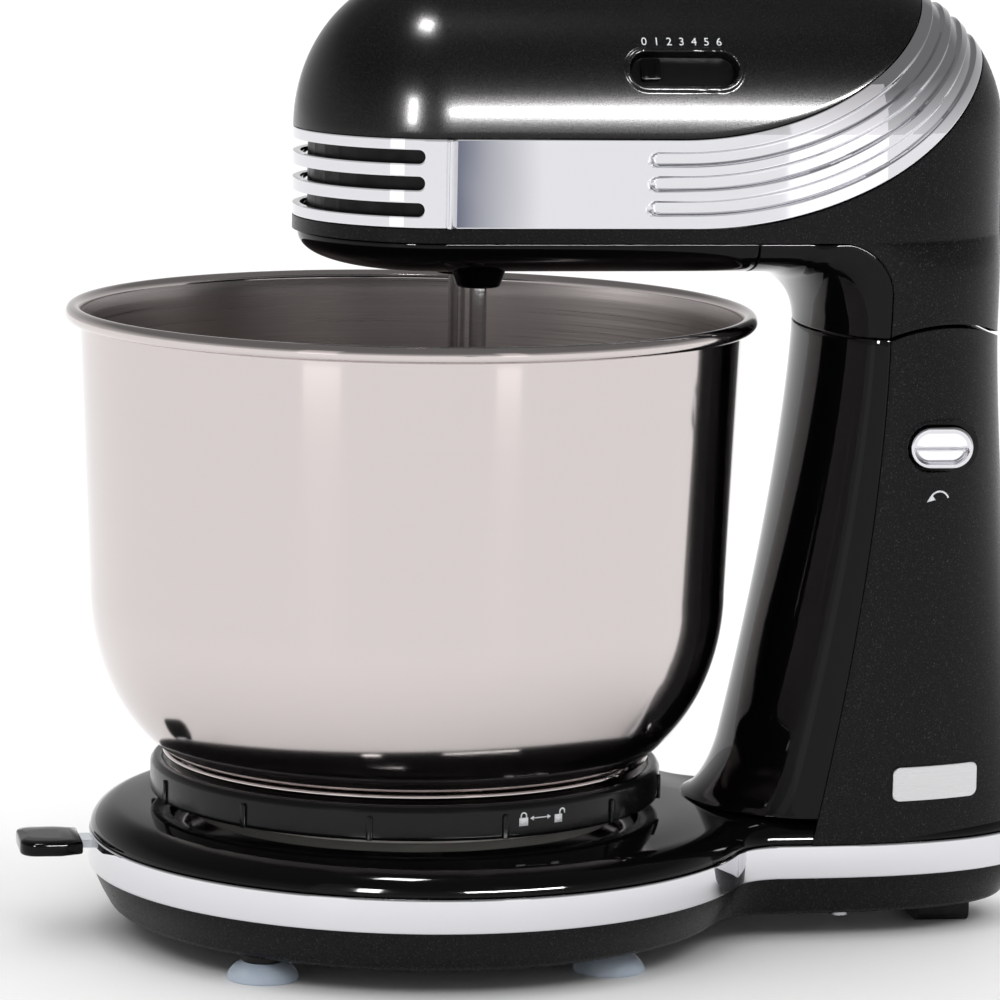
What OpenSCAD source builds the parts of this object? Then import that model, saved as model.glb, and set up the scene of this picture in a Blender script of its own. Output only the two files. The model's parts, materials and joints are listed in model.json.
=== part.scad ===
// Tilt-head stand mixer: a steel bowl on a turntable, a column, and a head that
// holds a motor, a worm gearbox and two beaters.
// Millimetres, +Z up. The bowl's axis is X = 0, Y = 0 inside every module, -Y is the
// front. placed() moves the whole mixer so that its bounding box is centred on Y.

/* [Bowl] */
// Outer diameter of the rolled rim
bowl_d = 206; // [190:2:250]
// Height of the bowl from the underside of its foot to the rim
bowl_h = 143.5; // [110:1:180]
// Sheet thickness
bowl_wall = 0.9; // [0.8:0.1:2]
// Radius of the rolled lip
rim_lip = 2.4; // [1.5:0.1:4]
// Outer diameter of the foot ring
bowl_foot_d = 140; // [110:2:144]
// Height of the foot ring
bowl_foot_h = 9; // [6:0.5:14]

/* [Base] */
// Height of the suction feet
foot_h = 7; // [5:0.5:12]
// Height of the tapered tray
tray_h = 12.6; // [9:0.2:20]
// How far the tray tapers in at its bottom edge
tray_taper = 5.5; // [2:0.5:9]
// Height of the trim band
trim_h = 10.2; // [8:0.2:16]
// Thickness of the trim band
trim_wall = 2; // [1.2:0.1:3]
// Height of the deck above the band
deck_h = 8.7; // [7:0.1:12]
// Radius of the deck's rounded edge
deck_round = 8; // [4:0.5:8]
// Diameter of the round part of the base
disc_d = 200; // [190:2:240]
// Centre of the round part behind the bowl's axis
disc_y = 5; // [0:1:10]
// Fillet between the round part and the tail
tail_fillet = 17; // [10:1:25]
// Wall of the moulded shells
wall = 2.4; // [1.6:0.1:3]
// Radius of a suction foot
foot_r = 10.5; // [8:0.5:14]
// Half the distance between suction feet, across
foot_x = 65; // [55:1:75]
// Half the distance between suction feet, front to back
foot_y = 51; // [45:1:60]

/* [Turntable] */
// Outer diameter of the turntable's collar
collar_d = 154.8; // [150:0.2:176]
// Height of the collar
collar_h = 10.5; // [8:0.5:14]
// Gap between the deck and the collar
collar_gap = 3; // [2:0.2:6]
// Number of ribs round the collar
collar_ribs = 12; // [6:1:24]
// Radius of the turntable's spindle
spindle_r = 6; // [4:0.5:10]

/* [Column] */
// Gap between the bowl's rim and the front of the column, at the seam
column_gap = 15; // [10:1:30]
// Depth of the column at the seam, front to back
column_depth = 60; // [54:1:76]
// Width of the column at the seam
column_w = 80; // [72:1:88]
// Width of the column and of the base's tail at the foot
tail_w = 76; // [68:1:84]
// How far the foot reaches out in front of the seam
foot_reach = 24.5; // [10:0.5:30]
// How far the base's tail reaches out behind the seam
tail_reach = 14; // [6:1:24]

/* [Head] */
// Gap between the bowl's rim and the underside of the head
head_gap = 11.6; // [8:0.2:30]
// Width of the head
head_w = 86; // [80:1:100]
// How far the nose reaches out in front of the bowl's axis
nose_reach = 36; // [32:1:50]
// Depth of the belly below the shell line
belly_h = 11.5; // [9:0.5:16]
// Height of the strip between the shell line and the chrome band
lip_h = 4.2; // [2:0.2:8]
// Height of the chrome band
band_h = 26.1; // [22:0.1:34]
// Height of the dome above the chrome band
dome_h = 46.5; // [44:0.5:60]
// Gap between neighbouring panels
panel_gap = 0.3; // [0.2:0.05:0.6]

/* [Drive] */
// Half the distance between the beaters
beater_x = 19; // [18:0.5:24]
// Place of the beaters behind the bowl's axis
beater_y = 16.6; // [10:0.2:22]
// Radius of a beater
beater_r = 22; // [16:0.5:23]
// Length of a beater's loops
beater_len = 68; // [50:1:90]
// Radius of a beater's shank
shank_r = 2.6; // [2:0.1:4]
// Teeth of a worm wheel
wheel_teeth = 28; // [20:2:36]
// Radius of the worm
worm_r = 4.4; // [3.5:0.1:5.5]
// Radius of the motor's shaft
shaft_r = 3; // [2:0.25:3.5]
// Radius of the armature
armature_r = 13; // [10:0.5:14]
// Outer radius of the motor's field
field_r = 21; // [19:0.5:23]
// Length of the motor's field
field_len = 32; // [24:1:40]

/* [Hinge and controls] */
// Radius of the hinge pin
pin_r = 4; // [3:0.5:6]
// Radius of the arched seam about the hinge pin
seam_r = 48.6; // [46:0.1:54]
// Radial clearance of a running fit
running = 0.05; // [0.02:0.01:0.1]
// Width of the tilt button
button_w = 19.4; // [14:0.2:24]
// Height of the tilt button
button_h = 12.5; // [9:0.1:16]
// Travel of the tilt button
button_travel = 3.5; // [2:0.5:5]
// Length of the speed slider's window
slider_len = 32; // [26:1:40]
// Height of the speed slider's window
slider_h = 11; // [8:0.5:14]
// Width of the press lever's paddle
lever_w = 25; // [16:1:32]
// Reach of the press lever in front of the trim band
lever_reach = 21.5; // [14:0.5:28]

/* [Hidden] */

big = 600;
steps = 8;

// Heights, from the floor up
band_z = foot_h + tray_h;
deck_z = band_z + trim_h;
deck_top = deck_z + deck_h;
collar_z = deck_top + collar_gap;
collar_wall = 4;
collar_floor = 2.6;
bowl_z = collar_z + collar_floor + 0.3;
rim_z = bowl_z + bowl_h;
belly_z = rim_z + head_gap;
shell_z = belly_z + belly_h;
grille_z = shell_z + lip_h;
dome_z = grille_z + band_h;
top_z = dome_z + dome_h;
neck_fillet = 17;
edge_turn = 16.5;
seam_z = belly_z - neck_fillet;

// Places along Y
column_front = bowl_d / 2 + column_gap;
column_rear = column_front + column_depth;
column_edge = column_front + 18.8;
tail_y = column_rear + tail_reach;
pivot_y = column_front + 37;
pivot_z = seam_z + 3.3 - seam_r;
dome_front = 4;
dome_back = pivot_y - 24;
lever_y = disc_y - disc_d / 2 - lever_reach;
mid_y = (lever_y + tail_y) / 2;

// Swoosh of the chrome band: two ellipse quarters, as [centre y, reach, rise]
swoosh_in = [pivot_y - 83.5, 84, 63];
swoosh_out = [pivot_y - 78.5, 100, 80];
grille_y = 3;

// Slots of the grille
slot_h = 3.1;
slot_end = -6;
slot_pitch = 7.7;
slot_z = grille_z + 5.4;

// Drive
motor_z = dome_z - 0.5;
field_y = pivot_y - 68;
wheel_r = beater_x - worm_r - 0.3;
wheel_t = 7;
socket_z = belly_z - 3.7;
loop_top = bowl_z + 14 + beater_len;
spindle_or = 5.4;
shank_top = motor_z + 2;

// Chassis and hinge
chassis_z = shell_z + 2.6;
chassis_t = 2.4;
arm_in = 9;
arm_t = 3;
arm_lean = 30;
arm_half = 5.5;
arm_bend_z = seam_z + 3;
slot_margin = 11;
tilt_range = 45;
bracket_in = arm_in + arm_t + 0.4;
bracket_t = 3;
bracket_z = pivot_z - 42;

// Controls
button_y = pivot_y - 1.2;
button_z = pivot_z + 12.4;
button_face = column_x(button_z, button_y);
cup_depth = 14.6;
bar_t = 3.5;
bar_x = arm_in + arm_t + button_travel + 0.5 + bar_t;
slider_y = pivot_y - 82;
slider_tilt = 26;
knob_w = 5.4;
knob_travel = slider_len - 11.8;
lever_z = band_z + 6.6;
lever_t = 4.5;
stem_t = 2.4;
stem_w = 10;
pivot_in = 15;
lever_pin_r = 0.8;
gland_z = band_z + 28;
gland_r = 7;
gland_bore = 4;

// ---------- shapes shared by several pieces ----------

// Moves the mixer so that its bounding box is centred front to back
module placed() translate([0, -mid_y, 0]) children();

// Joins its children into one closed surface
module joined() resize([0, 0, 0]) children();

// A side view, drawn as (y, z), extruded across the whole width
module across(width = big) rotate([90, 0, 90]) linear_extrude(height = width, center = true) children();

// Round numbers of a superellipse quarter: n = 2 is an ellipse, more is squarer
function curve(c, n) = pow(max(c, 0), 2 / n);

// Mirrors a right-hand half outline, whose ends lie on X = 0, into a whole one
function whole(half) = concat(half, [for (i = [len(half) - 2 : -1 : 1]) [-half[i].x, half[i].y]]);

// Outline of a head or column section, from its front point round to its rear point
function section(w, front, edge, back, rear, n = 2) = whole(concat(
    [for (i = [0 : steps]) let (a = 90 * i / steps)
        [w * curve(sin(a), 2), edge - (edge - front) * curve(cos(a), 2)]],
    [for (i = [(back > edge ? 0 : 1) : steps]) let (a = 90 * i / steps)
        [w * curve(cos(a), n), back + (rear - back) * curve(sin(a), n)]]));

// Solid through a list of [z, outline] with equally many points each. The caps fan out
// from a centre point, so that they may be hollow-sided.
module loft(rings, hub = 0) {
    n = len(rings[0][1]);
    m = len(rings);
    points = concat([for (r = rings) for (p = r[1]) [p.x, p.y, r[0]]],
        [[0, hub, rings[0][0]], [0, hub, rings[m - 1][0]]]);
    sides = [for (k = [0 : m - 2]) for (i = [0 : n - 1]) let (j = (i + 1) % n)
        each [[k * n + i, (k + 1) * n + i, (k + 1) * n + j], [k * n + i, (k + 1) * n + j, k * n + j]]];
    caps = [for (i = [0 : n - 1]) let (j = (i + 1) % n)
        each [[n * m, i, j], [n * m + 1, (m - 1) * n + j, (m - 1) * n + i]]];
    polyhedron(points, concat(sides, caps), convexity = 8);
}

// Rectangle with round corners, centred
function round_rect(w, h, r, q = 6) = [for (c = [[1, 1, 0], [-1, 1, 90], [-1, -1, 180], [1, -1, 270]])
    for (i = [0 : q]) let (a = c[2] + 90 * i / q)
        [c[0] * (w / 2 - r) + r * cos(a), c[1] * (h / 2 - r) + r * sin(a)]];

// Outline of the base, inset by d: a disc with a tail behind it
function base_plan(d) = let (
        r = disc_d / 2 - d, hw = tail_w / 2 - d, rf = tail_fillet + d, cx = hw + rf,
        cy = disc_y + sqrt(pow(r + rf, 2) - cx * cx), turn = atan2(cy - disc_y, cx),
        start = max(cy + 1, tail_y - 72), rear = tail_y - d)
    whole(concat(
        [for (i = [0 : 26]) let (a = -90 + (turn + 90) * i / 26) [r * cos(a), disc_y + r * sin(a)]],
        [for (i = [1 : 5]) let (a = 180 + turn * (1 - i / 5)) [cx + rf * cos(a), cy + rf * sin(a)]],
        [for (i = [0 : steps]) let (a = 90 * i / steps)
            [hw * curve(cos(a), 2.3), start + (rear - start) * curve(sin(a), 2.3)]]));
base_hub = disc_y + disc_d / 2 - 6;

// Column: the share of the way down from the seam, and what follows from it
function down(z) = max(0, (seam_z - z) / (seam_z - deck_top));
function edge_y(z) = let (up = z - (shell_z - edge_turn))
    column_edge - (foot_reach - 7) * pow(down(z), 1.7)
    - (up > 0 ? edge_turn - sqrt(max(0, edge_turn * edge_turn - up * up)) : 0);
function front_y(z) = let (up = min(z - seam_z, neck_fillet))
    column_front - foot_reach * pow(down(z), 1.4)
    - (up > 0 ? neck_fillet - sqrt(max(0, neck_fillet * neck_fillet - up * up)) : 0);
function half_w(z) = z > seam_z ? column_w / 2 + (head_w - column_w) / 2 * (z - seam_z) / (shell_z - seam_z)
    : column_w / 2 - (column_w - tail_w) / 2 * min(1, down(z));
function rear_y(z) = column_rear + (tail_reach - 0.8) * pow(min(1, down(z)), 1.4);
function column_section(z, d) =
    section(half_w(z) - d, front_y(z) + d, edge_y(z), edge_y(z), rear_y(z) - d, 2.2);
// Half width of the column's outside at a height and a place along Y
function column_x(z, y) = half_w(z) * curve(sqrt(max(0, 1 - pow(pow(max(0, y - edge_y(z))
    / (rear_y(z) - edge_y(z)), 1.1), 2))), 2.2);

// Column, inset by d, from the trim band to the seam
module column_solid(d = 0, low = deck_z, high = seam_z + 6) {
    count = 9;
    loft([for (i = [0 : count]) let (z = low + (high - low) * i / count)
        [z, column_section(z, d)]], pivot_y);
}

// Neck, inset by d, from below the seam into the head
module neck_solid(d = 0) {
    low = seam_z - 14;
    loft([for (z = [low, seam_z, for (a = [15 : 15 : 75]) seam_z + neck_fillet * sin(a), belly_z - 0.2,
        belly_z + 3, belly_z + 6, belly_z + 9, shell_z - 0.2]) [z, column_section(z, d)]], pivot_y);
}

// Head section scaled by s towards its spine and inset by d
function head_section(s, d) = section((head_w / 2 - d) * s, dome_front - (nose_reach + dome_front - d) * s,
    dome_front, dome_back, dome_back + (column_rear - dome_back - d) * s);

// Upper head, inset by d: upright walls under a dome
module dome_solid(d = 0, low = shell_z) {
    h = dome_h - d;
    loft(concat([[low, head_section(1, d)]],
        [for (i = [0 : steps]) let (a = 84 * i / steps)
            [dome_z + h * sin(a), head_section(cos(a), d)]]), 60);
}

// Belly of the head, inset by d: a shallow squarish bowl turned down
belly_step = 1.6;
module belly_solid(d = 0) {
    h = belly_h - d;
    loft(concat(
        [for (i = [6 : -1 : 0]) let (a = 80 * i / 6)
            [shell_z - h * curve(sin(a), 2.5), head_section(curve(cos(a), 2.5), d + belly_step)]],
        [[shell_z + 4, head_section(1, d + belly_step)]]), 60);
}

module hinge_circle(r) across() translate([pivot_y, pivot_z]) circle(r, $fn = 96);

// Everything of the head inside its outer face, or inside a face d further in
module head_solid(d = 0) {
    dome_solid(d, shell_z - (d > 0 ? 1 : 0));
    belly_solid(d);
    neck_solid(d);
}

// Wall of the whole head, open where it meets the column
module head_shell() difference() {
    head_solid(0);
    head_solid(wall);
    across() union() {
        translate([pivot_y, pivot_z]) circle(seam_r + panel_gap / 2, $fn = 96);
        translate([0, seam_z - 20]) square([column_edge - 0.5, 20.2]);
        translate([pivot_y, seam_z - 20]) square([big, 16]);
    }
}

// Side outlines of the swoosh, each moved outwards by g
function swoosh(e, z0, g) = [for (i = [0 : 12]) let (a = 90 * i / 12)
    [e[0] + (e[1] + g) * sin(a), z0 + e[2] - (e[2] + g) * cos(a)]];
module above_swoosh(e, z0, g) polygon(concat([[-big, z0 - g]], swoosh(e, z0, g),
    [[e[0] + e[1] + g, big], [-big, big]]));

// Side outline of all that lies in front of the edge line of the column and the neck,
// with the line moved back by g, between two heights
edge_heights = concat([for (i = [0 : 10]) deck_z - 3 + (seam_z - deck_z + 3) * i / 10],
    [for (a = [0 : 15 : 90]) shell_z - 16.5 * (1 - sin(a))]);
module front_of_edge(low, high, g) intersection() {
    polygon(concat([[0, edge_heights[0]]], [for (z = edge_heights) [edge_y(z) + g, z]], [[0, shell_z]]));
    translate([0, low]) square([big, high - low]);
}

// Places its children on the dome's side, their +Z outwards, their Y along the head
slider_x = head_w / 2 * cos(slider_tilt);
slider_z = dome_z + dome_h * sin(slider_tilt);
slider_lean = atan2(sin(slider_tilt) / dome_h, cos(slider_tilt) / (head_w / 2));
module on_dome() translate([slider_x, slider_y, slider_z]) rotate([0, 90 - slider_lean, 0]) children();

// A pill standing on the XY plane, its long side along Y
module pill(w, h, low, high) translate([0, 0, low]) linear_extrude(height = high - low)
    polygon(round_rect(h, w, h / 2 - 0.01, 10));
// The same standing out of the column's side, its long side along Y
module side_pill(w, h, low, high, y = button_y, z = button_z)
    translate([0, y, z]) rotate([0, 90, 0]) pill(w, h, low, high);

// Coil spring along Z
module coil(r, wire, turns, h) {
    ring = 10;
    n = turns * ring;
    c = 6;
    points = [for (i = [0 : n]) let (a = 360 * i / ring) for (k = [0 : c - 1]) let (b = 360 * k / c)
        [(r + wire * cos(b)) * cos(a), (r + wire * cos(b)) * sin(a),
            wire + (h - 2 * wire) * i / n + wire * sin(b)]];
    sides = [for (i = [0 : n - 1]) for (k = [0 : c - 1]) let (j = (k + 1) % c)
        each [[i * c + k, (i + 1) * c + k, (i + 1) * c + j], [i * c + k, (i + 1) * c + j, i * c + j]]];
    ends = [[for (k = [0 : c - 1]) k], [for (k = [c - 1 : -1 : 0]) n * c + k]];
    polyhedron(points, concat(sides, ends));
}

// Tube section between two radii, swept round Z
module ring(outer, inner, z, h) translate([0, 0, z]) difference() {
    cylinder(h = h, r = outer, $fn = 64);
    translate([0, 0, -1]) cylinder(h = h + 2, r = inner, $fn = 64);
}

// ---------- base ----------

module base_tray() placed() color([0.07, 0.07, 0.08]) joined() difference() {
    loft([[foot_h, base_plan(tray_taper + 3)], [foot_h + 1.2, base_plan(tray_taper + 1)],
        [foot_h + tray_h * 0.55, base_plan(tray_taper * 0.42 + 1)], [band_z, base_plan(0.8)]], base_hub);
    loft([[foot_h + wall, base_plan(tray_taper + 3 + wall)],
        [foot_h + tray_h * 0.55, base_plan(tray_taper * 0.42 + 1 + wall)],
        [band_z + 1, base_plan(0.8 + wall)]], base_hub);
    translate([-10, lever_y, band_z - 8.5]) cube([20, lever_reach + 12, 7]);
}

module base_trim_band() placed() color([0.85, 0.85, 0.87]) difference() {
    translate([0, 0, band_z]) linear_extrude(height = trim_h) difference() {
        polygon(base_plan(0));
        polygon(base_plan(trim_wall));
    }
    translate([-stem_w / 2 - 1, lever_y, lever_z - 2.6]) cube([stem_w + 2, lever_reach + 12, stem_t + 3.6]);
}

module base_deck() placed() color([0.02, 0.02, 0.02]) joined() difference() {
    loft(concat([[deck_z, base_plan(0.5)]], [for (i = [0 : 5]) let (a = 18 * i)
        [deck_z + 0.7 + (deck_h - 0.7) * sin(a), base_plan(0.5 + deck_round * (1 - cos(a)))]]), base_hub);
    loft([[deck_z - 1, base_plan(0.5 + wall)], [deck_z + 2, base_plan(0.5 + wall)],
        [deck_top - wall, base_plan(deck_round + wall)]], base_hub);
    column_solid(-0.15, deck_z - 3, deck_top + 6);
    translate([-big / 2, edge_y(deck_z) - 0.1, 0]) cube([big, big, big]);
}

module suction_feet() placed() color([0.62, 0.68, 0.74]) for (sx = [-1, 1], sy = [-1, 1])
    translate([sx * foot_x, sy * foot_y, 0]) rotate_extrude($fn = 48)
        polygon([[0, 2.6], [3, 2.4], [foot_r * 0.75, 1.1], [foot_r - 0.9, 0], [foot_r, 0], [foot_r, 0.8],
            [foot_r * 0.84, 2.2], [foot_r * 0.6, 3.4], [foot_r * 0.45, 4.4], [foot_r * 0.42, foot_h],
            [0, foot_h]]);

module rear_foot() placed() color([0.03, 0.03, 0.03]) translate([0, tail_y - 27, 0]) rotate([90, 0, 0])
    linear_extrude(height = 16, center = true) polygon(concat([[14, foot_h], [-14, foot_h]],
        [for (s = [-1, 1]) for (i = [0 : 5]) let (a = s < 0 ? 180 + 18 * i : 270 + 18 * i)
            [s * 10.5 + 3.5 * cos(a), 3.5 + 3.5 * sin(a)]]));

module base_screws() placed() color([0.6, 0.6, 0.6]) for (p = [[-46, -20], [46, -20], [-46, 30], [46, 30],
        [-22, tail_y - 62], [22, tail_y - 62]]) translate([p.x, p.y, foot_h - 1.8]) difference() {
    cylinder(h = 1.8, r = 3, $fn = 32);
    for (r = [0, 90]) rotate([0, 0, r]) translate([-2, -0.4, -1]) cube([4, 0.8, 1.8]);
}

// ---------- column ----------

module column_shell() difference() {
    column_solid(0);
    column_solid(wall, deck_z - 1, seam_z + 8);
}

module column_front_cover() placed() color([0.02, 0.02, 0.02]) joined() intersection() {
    column_shell();
    across() front_of_edge(deck_z - 1, seam_z - panel_gap, -panel_gap / 2);
}

module column_side_shell() placed() color([0.07, 0.07, 0.08]) joined() difference() {
    intersection() {
        column_shell();
        across() difference() {
            union() {
                translate([pivot_y, pivot_z]) circle(seam_r - panel_gap, $fn = 96);
                translate([0, deck_z]) square([big, pivot_z - deck_z]);
            }
            front_of_edge(deck_z - 2, seam_z + 20, panel_gap / 2);
        }
    }
    side_pill(button_w + 4.4, button_h + 4.4, 20, 60);
    translate([0, tail_y, gland_z]) rotate([90, 0, 0])
        cylinder(h = 30, r = gland_r + 0.1, center = true, $fn = 32);
}

module column_top_cap() placed() color([0.05, 0.05, 0.05]) joined() difference() {
    intersection() {
        column_solid(wall + 0.3, seam_z - 60, seam_z + 6);
        difference() {
            hinge_circle(seam_r - 1.2);
            hinge_circle(seam_r - 3.2);
        }
        translate([-big / 2, column_front, pivot_z + 8]) cube([big, column_depth, big]);
    }
    for (s = [-1, 1]) translate([s * (arm_in + arm_t / 2), pivot_y, pivot_z]) across_slot();
}

// The sweep of one hinge arm, as a slot
module across_slot() rotate([90, 0, 90]) linear_extrude(height = arm_t + 1.4, center = true)
    polygon(concat([[0, 0]], [for (i = [0 : 6])
        let (a = 90 + arm_lean + slot_margin - (tilt_range + 2 * slot_margin) * i / 6)
            90 * [cos(a), sin(a)]]));

module hinge_bracket() placed() color([0.55, 0.56, 0.58]) {
    foot = column_x(bracket_z, pivot_y + 14) - wall - 0.9;
    for (s = [-1, 1]) translate([s * (bracket_in + bracket_t / 2), 0, 0]) across(bracket_t) difference() {
        union() {
            translate([pivot_y, pivot_z]) circle(9, $fn = 48);
            polygon([[pivot_y - 14, bracket_z], [pivot_y + 14, bracket_z], [pivot_y + 8.9, pivot_z],
                [pivot_y - 8.9, pivot_z]]);
        }
        translate([pivot_y, pivot_z]) circle(pin_r + running, $fn = 48);
    }
    translate([-foot, pivot_y - 14, bracket_z - 3]) cube([2 * foot, 28, 3]);
}

module hinge_pin() placed() color([0.75, 0.75, 0.77]) translate([0, pivot_y, pivot_z]) rotate([0, 90, 0]) {
    half = bracket_in + bracket_t + 0.3;
    translate([0, 0, -half]) cylinder(h = 2 * half, r = pin_r, $fn = 48);
    for (s = [-1, 1]) translate([0, 0, s * (half + 0.75)])
        cylinder(h = 1.5, r = pin_r + 2, center = true, $fn = 48);
}

module cord_gland() placed() color([0.04, 0.04, 0.04])
    translate([0, rear_y(gland_z) + 0.6, gland_z]) rotate([90, 0, 0])
    difference() {
        union() {
            cylinder(h = 12, r = gland_r, $fn = 48);
            translate([0, 0, 5]) cylinder(h = 2, r = gland_r + 2, $fn = 48);
        }
        translate([0, 0, -1]) cylinder(h = 14, r = gland_bore, $fn = 48);
    }

module badge_plate() placed() color([0.75, 0.75, 0.76]) joined() intersection() {
    difference() {
        column_solid(-0.5);
        column_solid(0);
    }
    translate([0, tail_y - 36, deck_top + 9.3]) rotate([90, 0, 90]) linear_extrude(height = 60)
        polygon(round_rect(28, 10.5, 2));
}

// Dark cup round the tilt button, with the spring on its floor
module button_bezel() placed() color([0.02, 0.02, 0.02]) difference() {
    side_pill(button_w + 4, button_h + 4, button_face - cup_depth - 1.4, button_face - 1.2);
    side_pill(button_w + 0.8, button_h + 0.8, button_face - cup_depth, 60);
    translate([0, button_y, button_z]) rotate([0, 90, 0]) cylinder(h = 60, r = 2.4, $fn = 32);
}

// ---------- turntable and bowl ----------

module turntable_spindle() placed() color([0.6, 0.6, 0.62]) {
    translate([0, 0, deck_top]) cylinder(h = collar_gap - 0.3, r = spindle_r + 6, $fn = 48);
    translate([0, 0, deck_top]) cylinder(h = collar_gap + collar_floor, r = spindle_r, $fn = 48);
}

module glide_ring() placed() color([0.9, 0.9, 0.88])
    ring(bowl_foot_d / 2 - 6, bowl_foot_d / 2 - 12, deck_top, collar_gap - 0.3);

module turntable_collar() placed() color([0.03, 0.03, 0.03]) {
    ring(collar_d / 2, collar_d / 2 - collar_wall, collar_z, collar_h);
    ring(collar_d / 2 - collar_wall + 0.5, spindle_r + running, collar_z, collar_floor);
    for (i = [0 : collar_ribs - 1]) rotate([0, 0, 360 * (i + 0.45) / collar_ribs])
        translate([collar_d / 2 - 0.4, -1.2, collar_z]) cube([1.2, 2.4, collar_h * 0.72]);
}

// Bowl outline: the outside, then the inside one sheet thickness in
bowl_top_r = bowl_d / 2 - 4.6;
bowl_low_r = bowl_d / 2 - 8;
bowl_turn_z = bowl_z + bowl_h * 0.42;
bowl_flat_r = bowl_foot_d / 2 - 14;
bowl_floor = bowl_z + 5.6;
function bowl_side(d) = concat(
    [for (i = [0 : 10]) let (a = 9 * i) [bowl_flat_r + (bowl_low_r - bowl_flat_r - d) * sin(a),
        bowl_turn_z - (bowl_turn_z - bowl_floor - d) * cos(a)]],
    [[bowl_top_r - d, rim_z - 2 * rim_lip]]);
// Height just below the bowl's underside over a radius
function under(r) = bowl_turn_z - (bowl_turn_z - bowl_floor)
    * sqrt(1 - pow((r - bowl_flat_r) / (bowl_low_r - bowl_flat_r), 2)) - 0.05;

module bowl() placed() color([0.78, 0.76, 0.74]) {
    outside = bowl_side(0);
    inside = bowl_side(bowl_wall);
    rotate_extrude($fn = 96) polygon(concat([[0, bowl_floor]], outside, [[bowl_top_r, rim_z - rim_lip],
        [bowl_top_r - bowl_wall, rim_z - rim_lip]],
        [for (i = [len(inside) - 1 : -1 : 0]) inside[i]], [[0, bowl_floor + bowl_wall]]));
    translate([0, 0, rim_z - rim_lip]) rotate_extrude($fn = 96)
        translate([bowl_d / 2 - rim_lip, 0]) circle(rim_lip, $fn = 24);
}

module bowl_foot() placed() color([0.6, 0.6, 0.6]) {
    out = bowl_foot_d / 2;
    in = out - 5;
    rotate_extrude($fn = 96) polygon([[in, bowl_z], [out, bowl_z],
        [out, min(under(out), bowl_z + bowl_foot_h)],
        [out - 1.6, min(under(out - 1.6), bowl_z + bowl_foot_h)],
        [out - 1.6, bowl_z + 1.4], [in, bowl_z + 1.4]]);
}

// ---------- head ----------

module head_top_shell() placed() color([0.03, 0.03, 0.03]) joined() difference() {
    intersection() {
        head_shell();
        across() above_swoosh(swoosh_in, dome_z, -panel_gap / 2);
    }
    on_dome() pill(slider_len, slider_h, -14, 14);
}

module chrome_band() placed() color([0.85, 0.85, 0.87]) joined() intersection() {
    head_shell();
    across() difference() {
        above_swoosh(swoosh_out, grille_z, -panel_gap / 2);
        above_swoosh(swoosh_in, dome_z, panel_gap / 2);
        translate([-big, 0]) square([big + grille_y, big]);
    }
}

module grille_slots() for (i = [0 : 2]) translate([0, slot_z + i * slot_pitch]) {
    translate([-big, -slot_h / 2]) square([big + slot_end, slot_h]);
    translate([slot_end, 0]) circle(slot_h / 2, $fn = 24);
}

module front_grille() placed() color([0.85, 0.85, 0.87]) joined() intersection() {
    head_shell();
    across() difference() {
        translate([-big, grille_z + panel_gap / 2])
            square([big + grille_y - panel_gap, band_h - panel_gap]);
        grille_slots();
    }
}

module vent_baffle() placed() color([0.03, 0.03, 0.03]) {
    inset = wall + 2;
    intersection() {
        translate([0, 0, chassis_z + chassis_t + 0.3]) linear_extrude(height = band_h - 2) difference() {
            polygon(head_section(1, inset));
            polygon(head_section(1, inset + 1.4));
        }
        translate([-big / 2, -big + grille_y - 1, 0]) cube([big, big, big]);
    }
}

module head_lower_shell() placed() color([0.07, 0.07, 0.08]) joined() difference() {
    intersection() {
        head_shell();
        across() difference() {
            union() {
                translate([-big, shell_z]) square([2 * big, big]);
                translate([0, seam_z - 12]) square([big, big]);
            }
            above_swoosh(swoosh_out, grille_z, panel_gap / 2);
            front_of_edge(seam_z - 14, shell_z, panel_gap / 2);
        }
    }
    translate([0, column_rear, rear_vent_z]) rotate([90, 0, 0]) linear_extrude(height = 40, center = true)
        polygon(round_rect(rear_vent_w + 0.4, rear_vent_h + 0.4, rear_vent_w / 2));
}
rear_vent_w = 17;
rear_vent_h = 32;
rear_vent_z = shell_z + 8;

module rear_vent() placed() color([0.04, 0.04, 0.04]) {
    rear = column_rear - 0.8;
    difference() {
        translate([0, rear - 3, rear_vent_z]) rotate([90, 0, 0]) linear_extrude(height = 2.4, center = true)
            polygon(round_rect(rear_vent_w, rear_vent_h, rear_vent_w / 2 - 0.01));
        for (i = [-3 : 3]) translate([0, rear, rear_vent_z + 3.6 * i])
            cube([rear_vent_w - 6, 20, 1.5], center = true);
    }
}

module belly_cover() placed() color([0.04, 0.04, 0.04]) joined() difference() {
    intersection() {
        head_shell();
        across() translate([-big, 0]) square([big + cover_end, shell_z - panel_gap]);
    }
    for (s = [-1, 1]) translate([s * beater_x, beater_y, 0]) cylinder(h = big, r = 12.6, $fn = 32);
    for (p = belly_screws) translate([p.x, p.y, 0]) cylinder(h = big, r = 3.1, $fn = 16);
}
cover_end = column_front - 22;
belly_screws = [[26, -10], [-26, -10], [26, 74], [-26, 74]];

module neck_cover() placed() color([0.03, 0.03, 0.03]) joined() intersection() {
    head_shell();
    across() intersection() {
        front_of_edge(seam_z, shell_z - panel_gap, -panel_gap / 2);
        translate([cover_end + panel_gap, 0]) square(big);
    }
}

module head_screws() placed() color([0.6, 0.6, 0.62]) for (p = belly_screws)
    translate([p.x, p.y, belly_z + 6]) cylinder(h = chassis_z - belly_z - 6, r = 2.6, $fn = 32);

module slider_bezel() placed() color([0.02, 0.02, 0.02]) on_dome() difference() {
    pill(slider_len - 0.4, slider_h - 0.4, -6, -0.4);
    pill(slider_len - 3.4, slider_h - 3.4, -4.5, 2);
    translate([-1.6, -slider_len / 2 + 4, -8]) cube([3.2, slider_len - 8, 10]);
}

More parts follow.
